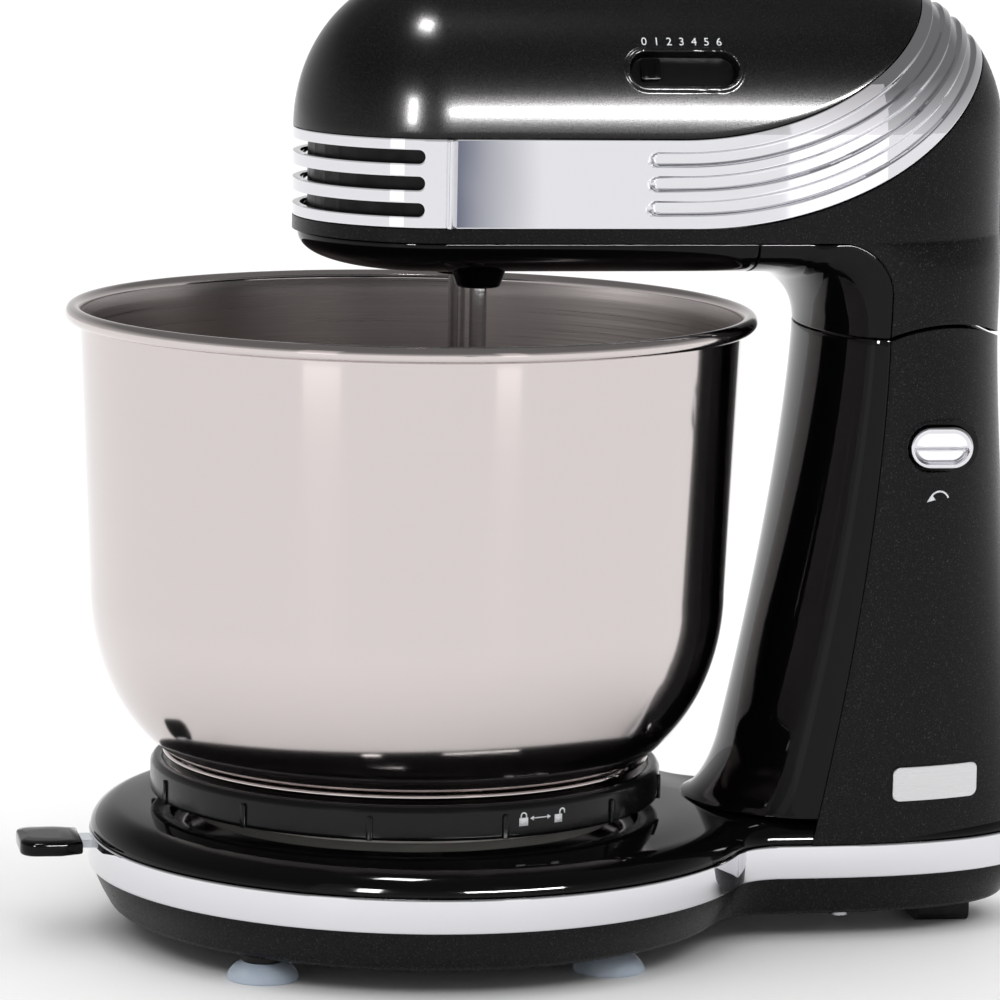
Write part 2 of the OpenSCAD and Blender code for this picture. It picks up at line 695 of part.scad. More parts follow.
module speed_switch() placed() color([0.12, 0.3, 0.14]) on_dome() {
    translate([-4, -slider_len / 2, -11]) cube([8, slider_len, 1.6]);
    for (s = [-1, 1]) translate([-4, s * (slider_len / 2 - 1.5) - 1.5, -9.41]) cube([8, 3, 3.2]);
}

module beater_sockets() placed() color([0.03, 0.03, 0.03]) for (s = [-1, 1])
    translate([s * beater_x, beater_y, 0]) rotate_extrude($fn = 48)
        polygon([[spindle_or + 0.4, socket_z], [8.7, socket_z], [12.3, socket_z + 6.2], [12.3, shell_z - 3],
            [spindle_or + 0.4, shell_z - 3]]);

module gearbox_housing() placed() color([0.75, 0.75, 0.74]) {
    low = chassis_z + chassis_t;
    high = motor_z + wheel_t / 2 + 6;
    half = beater_x + wheel_r + 3.2;
    front = beater_y - wheel_r - 3.2;
    depth = 2 * wheel_r + 6.4;
    difference() {
        translate([-half, front, low]) cube([2 * half, depth, high - low]);
        translate([-half + 2, front + 2, low + 2]) cube([2 * half - 4, depth - 4, high - low - 4]);
        for (s = [-1, 1]) translate([s * beater_x, beater_y, low - 1])
            cylinder(h = 4, r = spindle_or + running, $fn = 48);
        translate([0, front - 1, motor_z]) rotate([-90, 0, 0])
            cylinder(h = 2.9 + depth, r = shaft_r + running, $fn = 48);
    }
}

module head_chassis() placed() color([0.3, 0.3, 0.32]) {
    rear = dome_back + 14;
    arm_len = (arm_bend_z - pivot_z) / cos(arm_lean);
    bend_y = pivot_y - arm_len * sin(arm_lean);
    difference() {
        translate([0, 0, chassis_z]) linear_extrude(height = chassis_t) intersection() {
            polygon(head_section(1, wall + 0.3));
            translate([-big, beater_y - wheel_r - 6]) square([2 * big, rear - beater_y + wheel_r + 6]);
        }
        for (s = [-1, 1]) translate([s * beater_x, beater_y, 0])
            cylinder(h = big, r = spindle_or + 0.6, $fn = 48);
    }
    for (s = [-1, 1]) translate([s * (arm_in + arm_t / 2), 0, 0]) across(arm_t) difference() {
        union() {
            translate([pivot_y, pivot_z]) circle(arm_half + 2, $fn = 48);
            translate([pivot_y, pivot_z]) rotate(arm_lean) translate([-arm_half, 0])
                square([2 * arm_half, arm_len]);
            translate([bend_y, arm_bend_z]) circle(arm_half, $fn = 48);
            translate([bend_y - arm_half, arm_bend_z])
                square([2 * arm_half, chassis_z + 0.01 - arm_bend_z]);
        }
        translate([pivot_y, pivot_z]) circle(pin_r + running, $fn = 48);
    }
    // cradle of the motor
    for (y = [field_y + 3, field_y + field_len - 7]) translate([0, y, 0]) difference() {
        translate([-field_r - 2, 0, chassis_z + chassis_t - 0.01])
            cube([2 * field_r + 4, 4, motor_z - chassis_z - chassis_t - 6]);
        translate([0, -1, motor_z]) rotate([-90, 0, 0]) cylinder(h = 6, r = field_r + 0.1, $fn = 64);
    }
    // posts of the two bearings
    for (y = bearing_y) translate([0, y, 0]) difference() {
        translate([-4, -2, chassis_z + chassis_t - 0.01]) cube([8, 4, motor_z - chassis_z - chassis_t - 3]);
        translate([0, -3, motor_z]) rotate([-90, 0, 0]) cylinder(h = 6, r = shaft_r + 2.6, $fn = 48);
    }
}
bearing_y = [field_y - 9, field_y + field_len + 22];

module motor_field() placed() color([0.45, 0.46, 0.48])
translate([0, field_y, motor_z]) rotate([-90, 0, 0]) difference() {
    cylinder(h = field_len, r = field_r, $fn = 64);
    translate([0, 0, -1]) cylinder(h = field_len + 2, r = armature_r + 0.8, $fn = 64);
}

module motor_bearings() placed() color([0.7, 0.55, 0.3]) for (y = bearing_y)
    translate([0, y - 2.5, motor_z]) rotate([-90, 0, 0]) difference() {
        cylinder(h = 5, r = shaft_r + 2.5, $fn = 48);
        translate([0, 0, -1]) cylinder(h = 7, r = shaft_r + running, $fn = 48);
    }

// ---------- drive ----------

module motor_shaft() placed() color([0.7, 0.7, 0.72]) translate([0, 0, motor_z]) rotate([-90, 0, 0]) {
    front = beater_y - wheel_r - 2;
    rear = bearing_y[1] + 5;
    translate([0, 0, front]) cylinder(h = rear - front, r = shaft_r, $fn = 48);
    // worm, with its thread as a row of rings
    translate([0, 0, beater_y - 9]) rotate_extrude($fn = 48) polygon(concat([[0, 0]],
        [for (i = [0 : 5]) each [[shaft_r + 0.3, 3 * i], [worm_r, 3 * i + 1], [worm_r, 3 * i + 2]]],
        [[shaft_r + 0.3, 18], [0, 18]]));
}

module armature() placed() color([0.5, 0.3, 0.2]) translate([0, 0, motor_z]) rotate([-90, 0, 0]) {
    ring(armature_r, shaft_r, field_y + 1, field_len - 2);
    ring(shaft_r + 5, shaft_r, field_y + field_len + 2, 10);
}

module cooling_fan() placed() color([0.2, 0.2, 0.2]) translate([0, 0, motor_z]) rotate([-90, 0, 0]) {
    y = field_y + field_len + 14;
    ring(shaft_r + 3, shaft_r, y, 4);
    for (i = [0 : 8]) rotate([0, 0, 40 * i]) translate([shaft_r + 2.5, -0.6, y]) cube([11, 1.2, 4]);
}

// Worm wheel with its tooth gaps as notches in its rim
module worm_wheel(s) translate([s * beater_x, beater_y, motor_z - wheel_t / 2]) difference() {
    linear_extrude(height = wheel_t) polygon([for (i = [0 : wheel_teeth - 1]) each
        [for (k = [[0, -1.5], [0.3, 0], [0.65, 0], [0.95, -1.5]]) let (a = 360 * (i + k[0]) / wheel_teeth)
            (wheel_r + k[1]) * [cos(a), sin(a)]]]);
    translate([0, 0, -1]) cylinder(h = wheel_t + 2, r = spindle_or, $fn = 48);
}
module left_worm_wheel() placed() color([0.9, 0.88, 0.8]) worm_wheel(-1);
module right_worm_wheel() placed() color([0.9, 0.88, 0.8]) worm_wheel(1);

// Hollow spindle that takes a beater's shank from below
module spindle(s) translate([s * beater_x, beater_y, 0]) difference() {
    translate([0, 0, socket_z + 1])
        cylinder(h = motor_z + wheel_t / 2 + 2 - socket_z - 1, r = spindle_or, $fn = 48);
    translate([0, 0, socket_z]) cylinder(h = shank_top + 0.5 - socket_z, r = shank_r + running, $fn = 48);
}
module left_spindle() placed() color([0.7, 0.7, 0.72]) spindle(-1);
module right_spindle() placed() color([0.7, 0.7, 0.72]) spindle(1);

// Beater: a shank and two crossed loops of flat wire
module beater(s) translate([s * beater_x, beater_y, 0]) {
    wire = 1.8;
    strip = 2.4;
    half = beater_len / 2;
    middle = loop_top - half;
    translate([0, 0, loop_top - 6]) cylinder(h = shank_top - loop_top + 6, r = shank_r, $fn = 32);
    for (r = [0, 90]) rotate([0, 0, r + (s > 0 ? 45 : 0)])
        translate([0, strip / 2, middle]) rotate([90, 0, 0]) linear_extrude(height = strip) difference() {
            polygon([for (i = [0 : 39]) superpoint(9 * i, beater_r, half, 2.5)]);
            polygon([for (i = [0 : 39]) superpoint(9 * i, beater_r - wire, half - wire, 2.5)]);
        }
    translate([0, 0, loop_top - beater_len]) cylinder(h = 4, r = shank_r + 0.6, $fn = 32);
}
function superpoint(a, rx, rz, n) =
    [rx * sign(cos(a)) * curve(abs(cos(a)), n), rz * sign(sin(a)) * curve(abs(sin(a)), n)];
module left_beater() placed() color([0.8, 0.8, 0.8]) beater(-1);
module right_beater() placed() color([0.8, 0.8, 0.8]) beater(1);

// ---------- controls ----------

module speed_knob() placed() color([0.08, 0.08, 0.08]) on_dome() translate([0, -(knob_travel / 2), 0]) {
    translate([0, 0, -4]) linear_extrude(height = 4.6) polygon(round_rect(slider_h - 4.6, knob_w, 2.2));
    translate([-1.2, -1.6, -7]) cube([2.4, 3.2, 3.2]);
}

module tilt_button() placed() color([0.85, 0.85, 0.87]) {
    back = button_face - 8;
    difference() {
        side_pill(button_w, button_h, back, button_face + 1.6);
        translate([button_face + 1.8, button_y, button_z - 2.6]) rotate([0, 90, 0])
            pill(button_w - 4, 5, -1.4, 4);
    }
    translate([bar_x, button_y, button_z]) rotate([0, 90, 0])
        cylinder(h = back - bar_x + 0.01, r = 2, $fn = 32);
}

module button_spring() placed() color([0.7, 0.7, 0.7])
    translate([button_face - cup_depth + 0.1, button_y, button_z]) rotate([0, 90, 0])
        coil(3.2, 0.4, 3, cup_depth - 8.2);

module lock_bar() placed() color([0.6, 0.6, 0.62])
    translate([bar_x - bar_t, button_y - 3, button_z - 3]) cube([bar_t, 6, 6]);

module lever_paddle() placed() color([0.04, 0.04, 0.04]) {
    r = 5;
    translate([0, lever_y, lever_z - 1]) linear_extrude(height = lever_t)
        polygon(concat([[lever_w / 2 - 2, lever_reach - 3], [-lever_w / 2 + 2, lever_reach - 3]],
            [for (s = [-1, 1]) for (i = [0 : 6]) let (a = s < 0 ? 180 + 15 * i : 270 + 15 * i)
                [s * (lever_w / 2 - r) + r * cos(a), r + r * sin(a)]]));
}

module lever_stem() placed() color([0.8, 0.85, 0.88, 0.5]) difference() {
    translate([-stem_w / 2, lever_y + lever_reach - 3, lever_z]) cube([stem_w, pivot_in + 9, stem_t]);
    translate([0, lever_pin_y, lever_pin_z]) rotate([0, 90, 0])
        cylinder(h = 40, r = lever_pin_r + running, center = true, $fn = 32);
}
lever_pin_y = disc_y - disc_d / 2 + pivot_in;
lever_pin_z = lever_z + stem_t / 2;

module lever_pin() placed() color([0.7, 0.7, 0.72]) {
    translate([0, lever_pin_y, lever_pin_z]) rotate([0, 90, 0])
        cylinder(h = stem_w + 8, r = lever_pin_r, center = true, $fn = 32);
    for (s = [-1, 1]) translate([s * (stem_w / 2 + 2.5) - 1.5, lever_pin_y - 3, foot_h + wall])
        cube([3, 6, lever_pin_z - foot_h - wall + 2.5]);
}

module lever_spring() placed() color([0.7, 0.7, 0.7])
    translate([0, lever_pin_y + 5, lever_z + stem_t + 0.1])
        coil(2.4, 0.4, 4, deck_top - wall - lever_z - stem_t - 0.3);

base_tray();
base_trim_band();
base_deck();
suction_feet();
rear_foot();
base_screws();
column_front_cover();
column_side_shell();
column_top_cap();
hinge_bracket();
hinge_pin();
turntable_spindle();
glide_ring();
cord_gland();
badge_plate();
button_bezel();
lever_pin();
button_spring();
lever_spring();
turntable_collar();
bowl();
bowl_foot();
head_top_shell();
head_lower_shell();
belly_cover();
neck_cover();
front_grille();
chrome_band();
vent_baffle();
slider_bezel();
speed_switch();
beater_sockets();
gearbox_housing();
head_chassis();
motor_field();
motor_bearings();
head_screws();
rear_vent();
motor_shaft();
armature();
cooling_fan();
left_worm_wheel();
left_spindle();
left_beater();
right_worm_wheel();
right_spindle();
right_beater();
speed_knob();
tilt_button();
lock_bar();
lever_paddle();
lever_stem();
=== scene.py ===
"""Looks of the stand mixer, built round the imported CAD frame.

Shapes are worked out in millimetres in the mixer's own frame: the bowl's axis is x = 0, y = 0,
-y is the front and z is up. place() takes them to the row frame in metres.
"""
import json
import math

import bmesh
import bpy
import numpy as np
from mathutils import Matrix, Vector

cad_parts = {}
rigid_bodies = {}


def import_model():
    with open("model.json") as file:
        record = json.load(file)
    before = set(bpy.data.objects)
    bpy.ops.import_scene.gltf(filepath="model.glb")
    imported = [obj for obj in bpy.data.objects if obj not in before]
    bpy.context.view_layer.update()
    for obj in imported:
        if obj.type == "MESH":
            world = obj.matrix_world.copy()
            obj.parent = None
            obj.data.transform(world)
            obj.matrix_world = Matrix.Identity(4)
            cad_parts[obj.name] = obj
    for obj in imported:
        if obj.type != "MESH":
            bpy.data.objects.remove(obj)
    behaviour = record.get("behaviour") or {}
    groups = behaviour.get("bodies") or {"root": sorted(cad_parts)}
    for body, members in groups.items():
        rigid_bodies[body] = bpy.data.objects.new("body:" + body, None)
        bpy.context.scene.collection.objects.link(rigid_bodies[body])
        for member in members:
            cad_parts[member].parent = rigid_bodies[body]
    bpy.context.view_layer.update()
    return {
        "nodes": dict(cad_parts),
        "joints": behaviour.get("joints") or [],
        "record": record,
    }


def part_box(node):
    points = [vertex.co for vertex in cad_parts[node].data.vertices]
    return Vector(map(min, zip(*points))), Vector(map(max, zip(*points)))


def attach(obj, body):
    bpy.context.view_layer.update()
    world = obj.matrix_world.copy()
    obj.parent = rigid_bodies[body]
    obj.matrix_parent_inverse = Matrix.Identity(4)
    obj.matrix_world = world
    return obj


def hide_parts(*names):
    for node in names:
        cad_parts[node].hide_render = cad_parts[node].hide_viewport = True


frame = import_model()

# ---------------------------------------------------------------- sizes, from the frame
MM = 0.001
AXIS_Y = sum(c.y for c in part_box("bowl")) / 2


def box_mm(node):
    """Lowest and highest corner of a CAD node in millimetres, in the mixer's own frame."""
    return [np.array([c.x, c.y - AXIS_Y, c.z]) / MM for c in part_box(node)]


def joint_mm(name):
    """Place of a hinge in millimetres, in the mixer's own frame."""
    at = next(j for j in frame["joints"] if j["name"] == name)["pos_m"]
    return np.array([at[0], at[1] - AXIS_Y, at[2]]) / MM


GAP = 0.3                # between neighbouring panels
WALL = 2.2               # of the moulded shells
BOWL = box_mm("bowl")
FOOT_RING = box_mm("bowl_foot")
RIM_R, RIM_Z = BOWL[1][0], BOWL[1][2]
COLLAR = box_mm("turntable_collar")
BAND = box_mm("base_trim_band")
DISC_R = BAND[1][0]
DISC_Y = BAND[0][1] + DISC_R
TAIL_Y = BAND[1][1]
BAND_Z, DECK_Z = BAND[0][2], BAND[1][2]
DECK_TOP = box_mm("base_deck")[1][2]
FEET = box_mm("suction_feet")
FOOT_H = FEET[1][2]
GRILLE = box_mm("front_grille")
GRILLE_Z, DOME_Z = GRILLE[0][2] - GAP / 2, GRILLE[1][2] + GAP / 2
HEAD = box_mm("head_top_shell")
HEAD_W, TOP_Z, NOSE_Y = HEAD[1][0], HEAD[1][2], HEAD[0][1]
DOME_H = TOP_Z - DOME_Z
BELLY_Z = box_mm("belly_cover")[0][2]
SHELL_Z = box_mm("belly_cover")[1][2] + GAP
NECK = box_mm("neck_cover")
SEAM_Z = NECK[0][2]
COVER_END = NECK[0][1] - GAP
REAR_Y = box_mm("head_lower_shell")[1][1]
PIVOT = joint_mm("head_tilt")
PIVOT_Y, PIVOT_Z = PIVOT[1], PIVOT[2]
SEAM_R = 48.6
SEAM_GAP = 0.6            # from the round seam to either side of it
FRONT_Y = PIVOT_Y - 37     # column's front at the seam
EDGE_Y = PIVOT_Y - 18.2    # column's edge line at the seam
DOME_FRONT = 4.0           # centres of the head's two round ends
DOME_BACK = PIVOT_Y - 24
FILLET = BELLY_Z - SEAM_Z
EDGE_R = 16.5              # turn of the edge line under the head
COLUMN_W, TAIL_W = 40.0, 38.0
CREASE_Y = GRILLE[1][1] + GAP
BUTTON = [(a + b) / 2 for a, b in zip(*box_mm("tilt_button"))]
BUTTON_W = box_mm("tilt_button")[1][1] - box_mm("tilt_button")[0][1]
BUTTON_H = box_mm("tilt_button")[1][2] - box_mm("tilt_button")[0][2]
SWOOSH_IN = (PIVOT_Y - 83.5, 84.0, DOME_Z, 63.0)     # centre y, reach, height, rise
SWOOSH_OUT = (PIVOT_Y - 78.5, 100.0, GRILLE_Z, 80.0)
CHANNELS = (0.225, 0.5, 0.775)     # where the band's channels run, as shares of its width
CHANNEL_W, CHANNEL_START = 3.9, 63.0
SLIDER_Y, SLIDER_TILT = PIVOT_Y - 82, math.radians(26)
SLIDER_W, SLIDER_H = 32.0, 10.4
VENT = box_mm("rear_vent")
VENT_Z = (VENT[0][2] + VENT[1][2]) / 2
VENT_W, VENT_H = VENT[1][0] * 2, VENT[1][2] - VENT[0][2]
BELLY_H = SHELL_Z - BELLY_Z
COVER_INSET = 1.6          # of the belly behind the head's widest line
FLARE_H = 17.0             # of the run-out at the foot of the column's front
PADDLE = box_mm("lever_paddle")
RIBS = 12                  # round the collar
MARK_Y, MARK_Z = 29.0, COLLAR[0][2] + 5.7
MARK_SLOT = {"turntable": "collar_black", "base": "speckled_plastic", "head": "gloss_flake"}
INK_H, INK_WALL = 0.06, 0.05       # height of the print over its surface, and its thickness
DIGIT_START, DIGIT_STEP, DIGIT_UP = -11.4, 3.72, 7.6


# ---------------------------------------------------------------- mesh helpers
def place(points):
    """Points of the mixer's own frame, in millimetres, as points of the row frame in metres."""
    p = np.asarray(points, float).reshape(-1, 3) * MM
    p[:, 1] += AXIS_Y
    return p


def smooth(t):
    """Step from 0 to 1 with soft ends."""
    t = np.clip(t, 0, 1)
    return t * t * (3 - 2 * t)


def lerp(a, b, t):
    return a + (b - a) * t


def curve(c, n):
    """Coordinate of a superellipse quarter; n = 2 is an ellipse."""
    return np.maximum(c, 0) ** (2 / n)


def make(name, verts, faces, body, slot, nodes=(), bevel=0.0, wall=0.0, angle=35, weld=0.004, look=None):
    """A piece from points in millimetres: welded, shaded smooth, with a wall and rounded edges if asked.

    Its look is its slot's, unless another is named.
    """
    mesh = bpy.data.meshes.new(name)
    mesh.from_pydata([tuple(p) for p in place(verts)], [], [tuple(int(i) for i in f) for f in faces])
    piece = bpy.data.objects.new(name, mesh)
    bpy.context.scene.collection.objects.link(piece)
    bm = bmesh.new()
    bm.from_mesh(mesh)
    bmesh.ops.remove_doubles(bm, verts=bm.verts, dist=weld * MM)
    bmesh.ops.dissolve_degenerate(bm, edges=bm.edges, dist=1e-7)
    bm.to_mesh(mesh)
    bm.free()
    mesh.shade_smooth()
    mesh.materials.append(LOOK[look or slot])
    if wall:
        solid = piece.modifiers.new("wall", "SOLIDIFY")
        solid.thickness = wall * MM
        solid.offset = -1
    if bevel:
        edge = piece.modifiers.new("edge", "BEVEL")
        edge.width = bevel * MM
        edge.segments = 2
        edge.limit_method = "ANGLE"
        edge.angle_limit = math.radians(angle)
        edge.use_clamp_overlap = True
    else:
        mesh.set_sharp_from_angle(angle=math.radians(angle))
    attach(piece, body)
    if nodes:
        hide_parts(*nodes)
    return piece


def cells(rows, cols, wrap_rows=False, wrap_cols=False, keep=None):
    """Quads of a grid of rows x cols points."""
    faces = []
    for i in range(rows if wrap_rows else rows - 1):
        for j in range(cols if wrap_cols else cols - 1):
            if keep is not None and not keep[i, j]:
                continue
            k, m = (i + 1) % rows, (j + 1) % cols
            faces.append((i * cols + j, i * cols + m, k * cols + m, k * cols + j))
    return faces


def outward(grid, faces, inside):
    """Turns the quads so that their normals point away from a point or from each point given."""
    p = grid.reshape(-1, 3)
    f = np.array(faces)
    a, b, c, d = (p[f[:, i]] for i in range(4))
    n = np.cross(c - a, d - b)
    mid = (a + b + c + d) / 4
    core = inside(mid) if callable(inside) else np.array(inside, float)
    if ((mid - core) * n).sum() < 0:
        return f[:, ::-1]
    return f


def sheet(name, grid, body, slot, nodes=(), *, inside, keep=None, wall=WALL, bevel=0.35, wrap=(False, False),
          angle=35, look=None):
    """A panel from a grid of points. inside is what its outer face turns away from, as outward() takes it."""
    rows, cols = grid.shape[:2]
    faces = outward(grid, cells(rows, cols, wrap[0], wrap[1], keep), inside)
    return make(name, grid.reshape(-1, 3), faces, body, slot, nodes, bevel, wall, angle, look=look)


def both_sides(half, last=True):
    """A grid whose last (or first) column lies on x = 0, with its mirror image."""
    other = half * np.array([-1, 1, 1])
    if last:
        return np.concatenate([half, other[:, -2::-1]], axis=1)
    return np.concatenate([other[:, :0:-1], half], axis=1)


def head_core(p):
    """The nearest point of the head's spine, for turning normals outwards."""
    return np.stack([0 * p[:, 0], np.clip(p[:, 1], DOME_FRONT, DOME_BACK), np.full(len(p), DOME_Z)], 1)


def upright(x=0, y=0, up=0):
    """As head_core, for an upright line at x and y; the points lie up above those given."""
    return lambda p: np.stack([0 * p[:, 0] + x, 0 * p[:, 0] + y, p[:, 2] + up], 1)


axis_core, column_core = upright(), upright(y=PIVOT_Y)


def evenly(line, shares):
    """Points of a 3-D line at shares of its length."""
    s = np.concatenate([[0], np.cumsum(np.linalg.norm(np.diff(line, axis=0), axis=1))])
    return np.stack([np.interp(shares * s[-1], s, line[:, k]) for k in range(3)], 1)


def normals(grid):
    """Unit normals of a grid of points, pointing to either side."""
    n = np.cross(np.gradient(grid, axis=0), np.gradient(grid, axis=1))
    length = np.linalg.norm(n, axis=2, keepdims=True)
    return n / np.maximum(length, 1e-9)


def revolve(profile, steps=192, centre=(0, 0)):
    """Grid from (r, z) points turned about a vertical line."""
    a = np.linspace(0, 2 * math.pi, steps, endpoint=False)
    r, z = np.array(profile, float).T
    return np.stack([centre[0] + r[:, None] * np.cos(a), centre[1] + r[:, None] * np.sin(a),
                     np.repeat(z[:, None], steps, 1)], 2)


def rounded(points, radius, n=4):
    """A 2-D line with its inner corners rounded. radius is one number, or one for each point."""
    points = [np.array(p, float) for p in points]
    out = [points[0]]
    for i in range(1, len(points) - 1):
        a, b, c = points[i - 1:i + 2]
        r = radius[i] if hasattr(radius, "__len__") else radius
        u, v = (a - b), (c - b)
        lu, lv = np.linalg.norm(u), np.linalg.norm(v)
        t = min(r, lu * 0.45, lv * 0.45)
        if t < 1e-6:
            out.append(b)
            continue
        p, q = b + u / lu * t, b + v / lv * t
        for k in range(n + 1):
            s = k / n
            out.append((1 - s) ** 2 * p + 2 * s * (1 - s) * b + s * s * q)
    out.append(points[-1])
    return np.array(out)


def solid_of(name, outline, low, high, to_space, body, slot, nodes=(), bevel=0.3, angle=30):
    """A prism from a closed outline (a, b), between two heights, taken to space by to_space(a, b, h)."""
    n = len(outline)
    verts = [to_space(p[0], p[1], h) for h in (low, high) for p in outline]
    faces = [(i, (i + 1) % n, n + (i + 1) % n, n + i) for i in range(n)]
    faces += [tuple(range(n))[::-1], tuple(range(n, 2 * n))]
    return make(name, np.array(verts), faces, body, slot, nodes, bevel, 0, angle)


def box_shape(x0, y0, x1, y1):
    return [(x0, y0), (x1, y0), (x1, y1), (x0, y1)]


def pill_outline(w, h, q=10):
    """A pill along the first axis."""
    r, s = h / 2, w / 2 - h / 2
    right = [(s + r * math.cos(t), r * math.sin(t)) for t in np.linspace(-math.pi / 2, math.pi / 2, q)]
    left = [(-s + r * math.cos(t), r * math.sin(t)) for t in np.linspace(math.pi / 2, 3 * math.pi / 2, q)]
    return right + left


def pill_distance(a, b, w, h):
    """Distance outside (+) or inside (-) a pill along the first axis."""
    return np.hypot(np.maximum(np.abs(a) - (w / 2 - h / 2), 0), b) - h / 2


# ---------------------------------------------------------------- materials
def new_look(name, color, rough, metal=0.0, specular=0.5, coat=0.0, coat_rough=0.03):
    """A material with its node tree and its shader."""
    look = bpy.data.materials.new(name)
    look.use_nodes = True
    shader = look.node_tree.nodes["Principled BSDF"]
    shader.inputs["Base Color"].default_value = (*color, 1)
    shader.inputs["Roughness"].default_value = rough
    shader.inputs["Metallic"].default_value = metal
    shader.inputs["Specular IOR Level"].default_value = specular
    shader.inputs["Coat Weight"].default_value = coat
    shader.inputs["Coat Roughness"].default_value = coat_rough
    return look, look.node_tree, shader


def node(tree, kind, **values):
    """A new node with its sockets or its settings filled in."""
    made = tree.nodes.new(kind)
    for key, value in values.items():
        if key in made.inputs:
            made.inputs[key].default_value = value
        else:
            setattr(made, key, value)
    return made


def coordinates(tree, scale=(1, 1, 1)):
    """Object coordinates, stretched."""
    source = node(tree, "ShaderNodeTexCoord")
    stretch = node(tree, "ShaderNodeMapping")
    stretch.inputs["Scale"].default_value = scale
    tree.links.new(source.outputs["Object"], stretch.inputs["Vector"])
    return stretch.outputs["Vector"]


def noise(tree, scale, detail=2.0, stretch=(1, 1, 1), rough=0.5):
    made = node(tree, "ShaderNodeTexNoise", Scale=scale, Detail=detail, Roughness=rough)
    tree.links.new(coordinates(tree, stretch), made.inputs["Vector"])
    return made.outputs["Fac"]


def ramp(tree, source, stops):
    """Colour ramp; each stop is (position, colour or grey)."""
    made = node(tree, "ShaderNodeValToRGB")
    bar = made.color_ramp
    while len(bar.elements) < len(stops):
        bar.elements.new(0.5)
    for element, (at, value) in zip(bar.elements, stops):
        element.position = at
        element.color = (*(value if hasattr(value, "__len__") else (value,) * 3), 1)
    tree.links.new(source, made.inputs["Fac"])
    return made.outputs["Color"]


def bump(tree, shader, source, strength, distance):
    made = node(tree, "ShaderNodeBump", Strength=strength, Distance=distance)
    tree.links.new(source, made.inputs["Height"])
    tree.links.new(made.outputs["Normal"], shader.inputs["Normal"])


def gloss_black():
    look, tree, shader = new_look("gloss_black", (0.0025, 0.0022, 0.0025), 0.05, specular=0.16)
    tree.links.new(ramp(tree, noise(tree, 14, 3), [(0.35, 0.035), (0.7, 0.075)]), shader.inputs["Roughness"])
    bump(tree, shader, noise(tree, 60, 2), 0.02, 0.0004)
    return look


def gloss_flake():
    look, tree, shader = new_look("gloss_flake", (0.004, 0.004, 0.0042), 0.22, specular=0.2, coat=0.05,
                                  coat_rough=0.04)
    flakes = noise(tree, 3600, 1)
    tree.links.new(ramp(tree, flakes, [(0.52, (0.0025, 0.0023, 0.0026)), (0.74, (0.02, 0.019, 0.02))]),
                   shader.inputs["Base Color"])
    tree.links.new(ramp(tree, noise(tree, 3100, 1), [(0.3, 0.17), (0.7, 0.25)]), shader.inputs["Roughness"])
    bump(tree, shader, noise(tree, 3600, 1), 0.03, 0.0002)
    return look


def speckled_plastic():
    look, tree, shader = new_look("speckled_plastic", (0.006, 0.0055, 0.006), 0.3, specular=0.14)
    specks = node(tree, "ShaderNodeTexVoronoi", Scale=1500.0)
    tree.links.new(coordinates(tree), specks.inputs["Vector"])
    tones = [(0.45, (0.0035, 0.003, 0.0035)), (0.62, (0.009, 0.008, 0.009)), (0.74, (0.06, 0.056, 0.062))]
    tree.links.new(ramp(tree, noise(tree, 2300, 2), tones), shader.inputs["Base Color"])
    tree.links.new(ramp(tree, specks.outputs["Distance"], [(0.0, 0.2), (0.8, 0.34)]),
                   shader.inputs["Roughness"])
    bump(tree, shader, noise(tree, 2300, 1), 0.04, 0.0002)
    return look


def chrome():
    look, tree, shader = new_look("chrome", (0.72, 0.72, 0.75), 0.03, metal=1)
    tree.links.new(ramp(tree, noise(tree, 30, 3), [(0.4, 0.012), (0.75, 0.04)]), shader.inputs["Roughness"])
    bump(tree, shader, noise(tree, 45, 1), 0.03, 0.0005)
    return look


def bowl_steel(name, color, rough, marks):
    """Steel brushed round the bowl, so that highlights stretch up and down. marks: how strongly rings show."""
    look, tree, shader = new_look(name, color, rough, metal=1)
    shader.inputs["Anisotropic"].default_value = 0.5
    shader.inputs["Anisotropic Rotation"].default_value = 0.25
    turn = node(tree, "ShaderNodeTangent", direction_type="RADIAL", axis="Z")
    tree.links.new(turn.outputs["Tangent"], shader.inputs["Tangent"])
    rings = noise(tree, 1.0, 3, (12, 12, 2200), 0.6)
    dark = tuple(c * (1 - 0.22 * marks) for c in color)
    tree.links.new(ramp(tree, rings, [(0.3, dark), (0.7, color)]), shader.inputs["Base Color"])
    tree.links.new(ramp(tree, rings, [(0.3, rough * 0.85), (0.75, rough * (1 + 0.4 * marks))]),
                   shader.inputs["Roughness"])
    bump(tree, shader, rings, 0.12 * marks, 0.0001)
    return look


def satin_black(name, value, rough):
    look, tree, shader = new_look(name, (value, value, value * 1.1), rough, specular=0.22)
    tree.links.new(ramp(tree, noise(tree, 220, 3), [(0.3, rough * 0.75), (0.7, rough * 1.3)]),
                   shader.inputs["Roughness"])
    bump(tree, shader, noise(tree, 900, 2), 0.05, 0.0003)
    return look


def silicone():
    look, tree, shader = new_look("foot_silicone", (0.50, 0.57, 0.66), 0.28, specular=0.5)
    shader.inputs["Subsurface Weight"].default_value = 0.25
    shader.inputs["Subsurface Radius"].default_value = (0.004, 0.005, 0.006)
    tree.links.new(ramp(tree, noise(tree, 90, 3), [(0.3, (0.42, 0.50, 0.60)), (0.7, (0.56, 0.62, 0.70))]),
                   shader.inputs["Base Color"])
    bump(tree, shader, noise(tree, 300, 2), 0.05, 0.0003)
    return look


def rubber():
    look, tree, shader = new_look("black_rubber", (0.008, 0.008, 0.008), 0.6, specular=0.3)
    tree.links.new(ramp(tree, noise(tree, 500, 3), [(0.3, 0.5), (0.7, 0.75)]), shader.inputs["Roughness"])
    bump(tree, shader, noise(tree, 900, 3), 0.2, 0.0004)
    return look


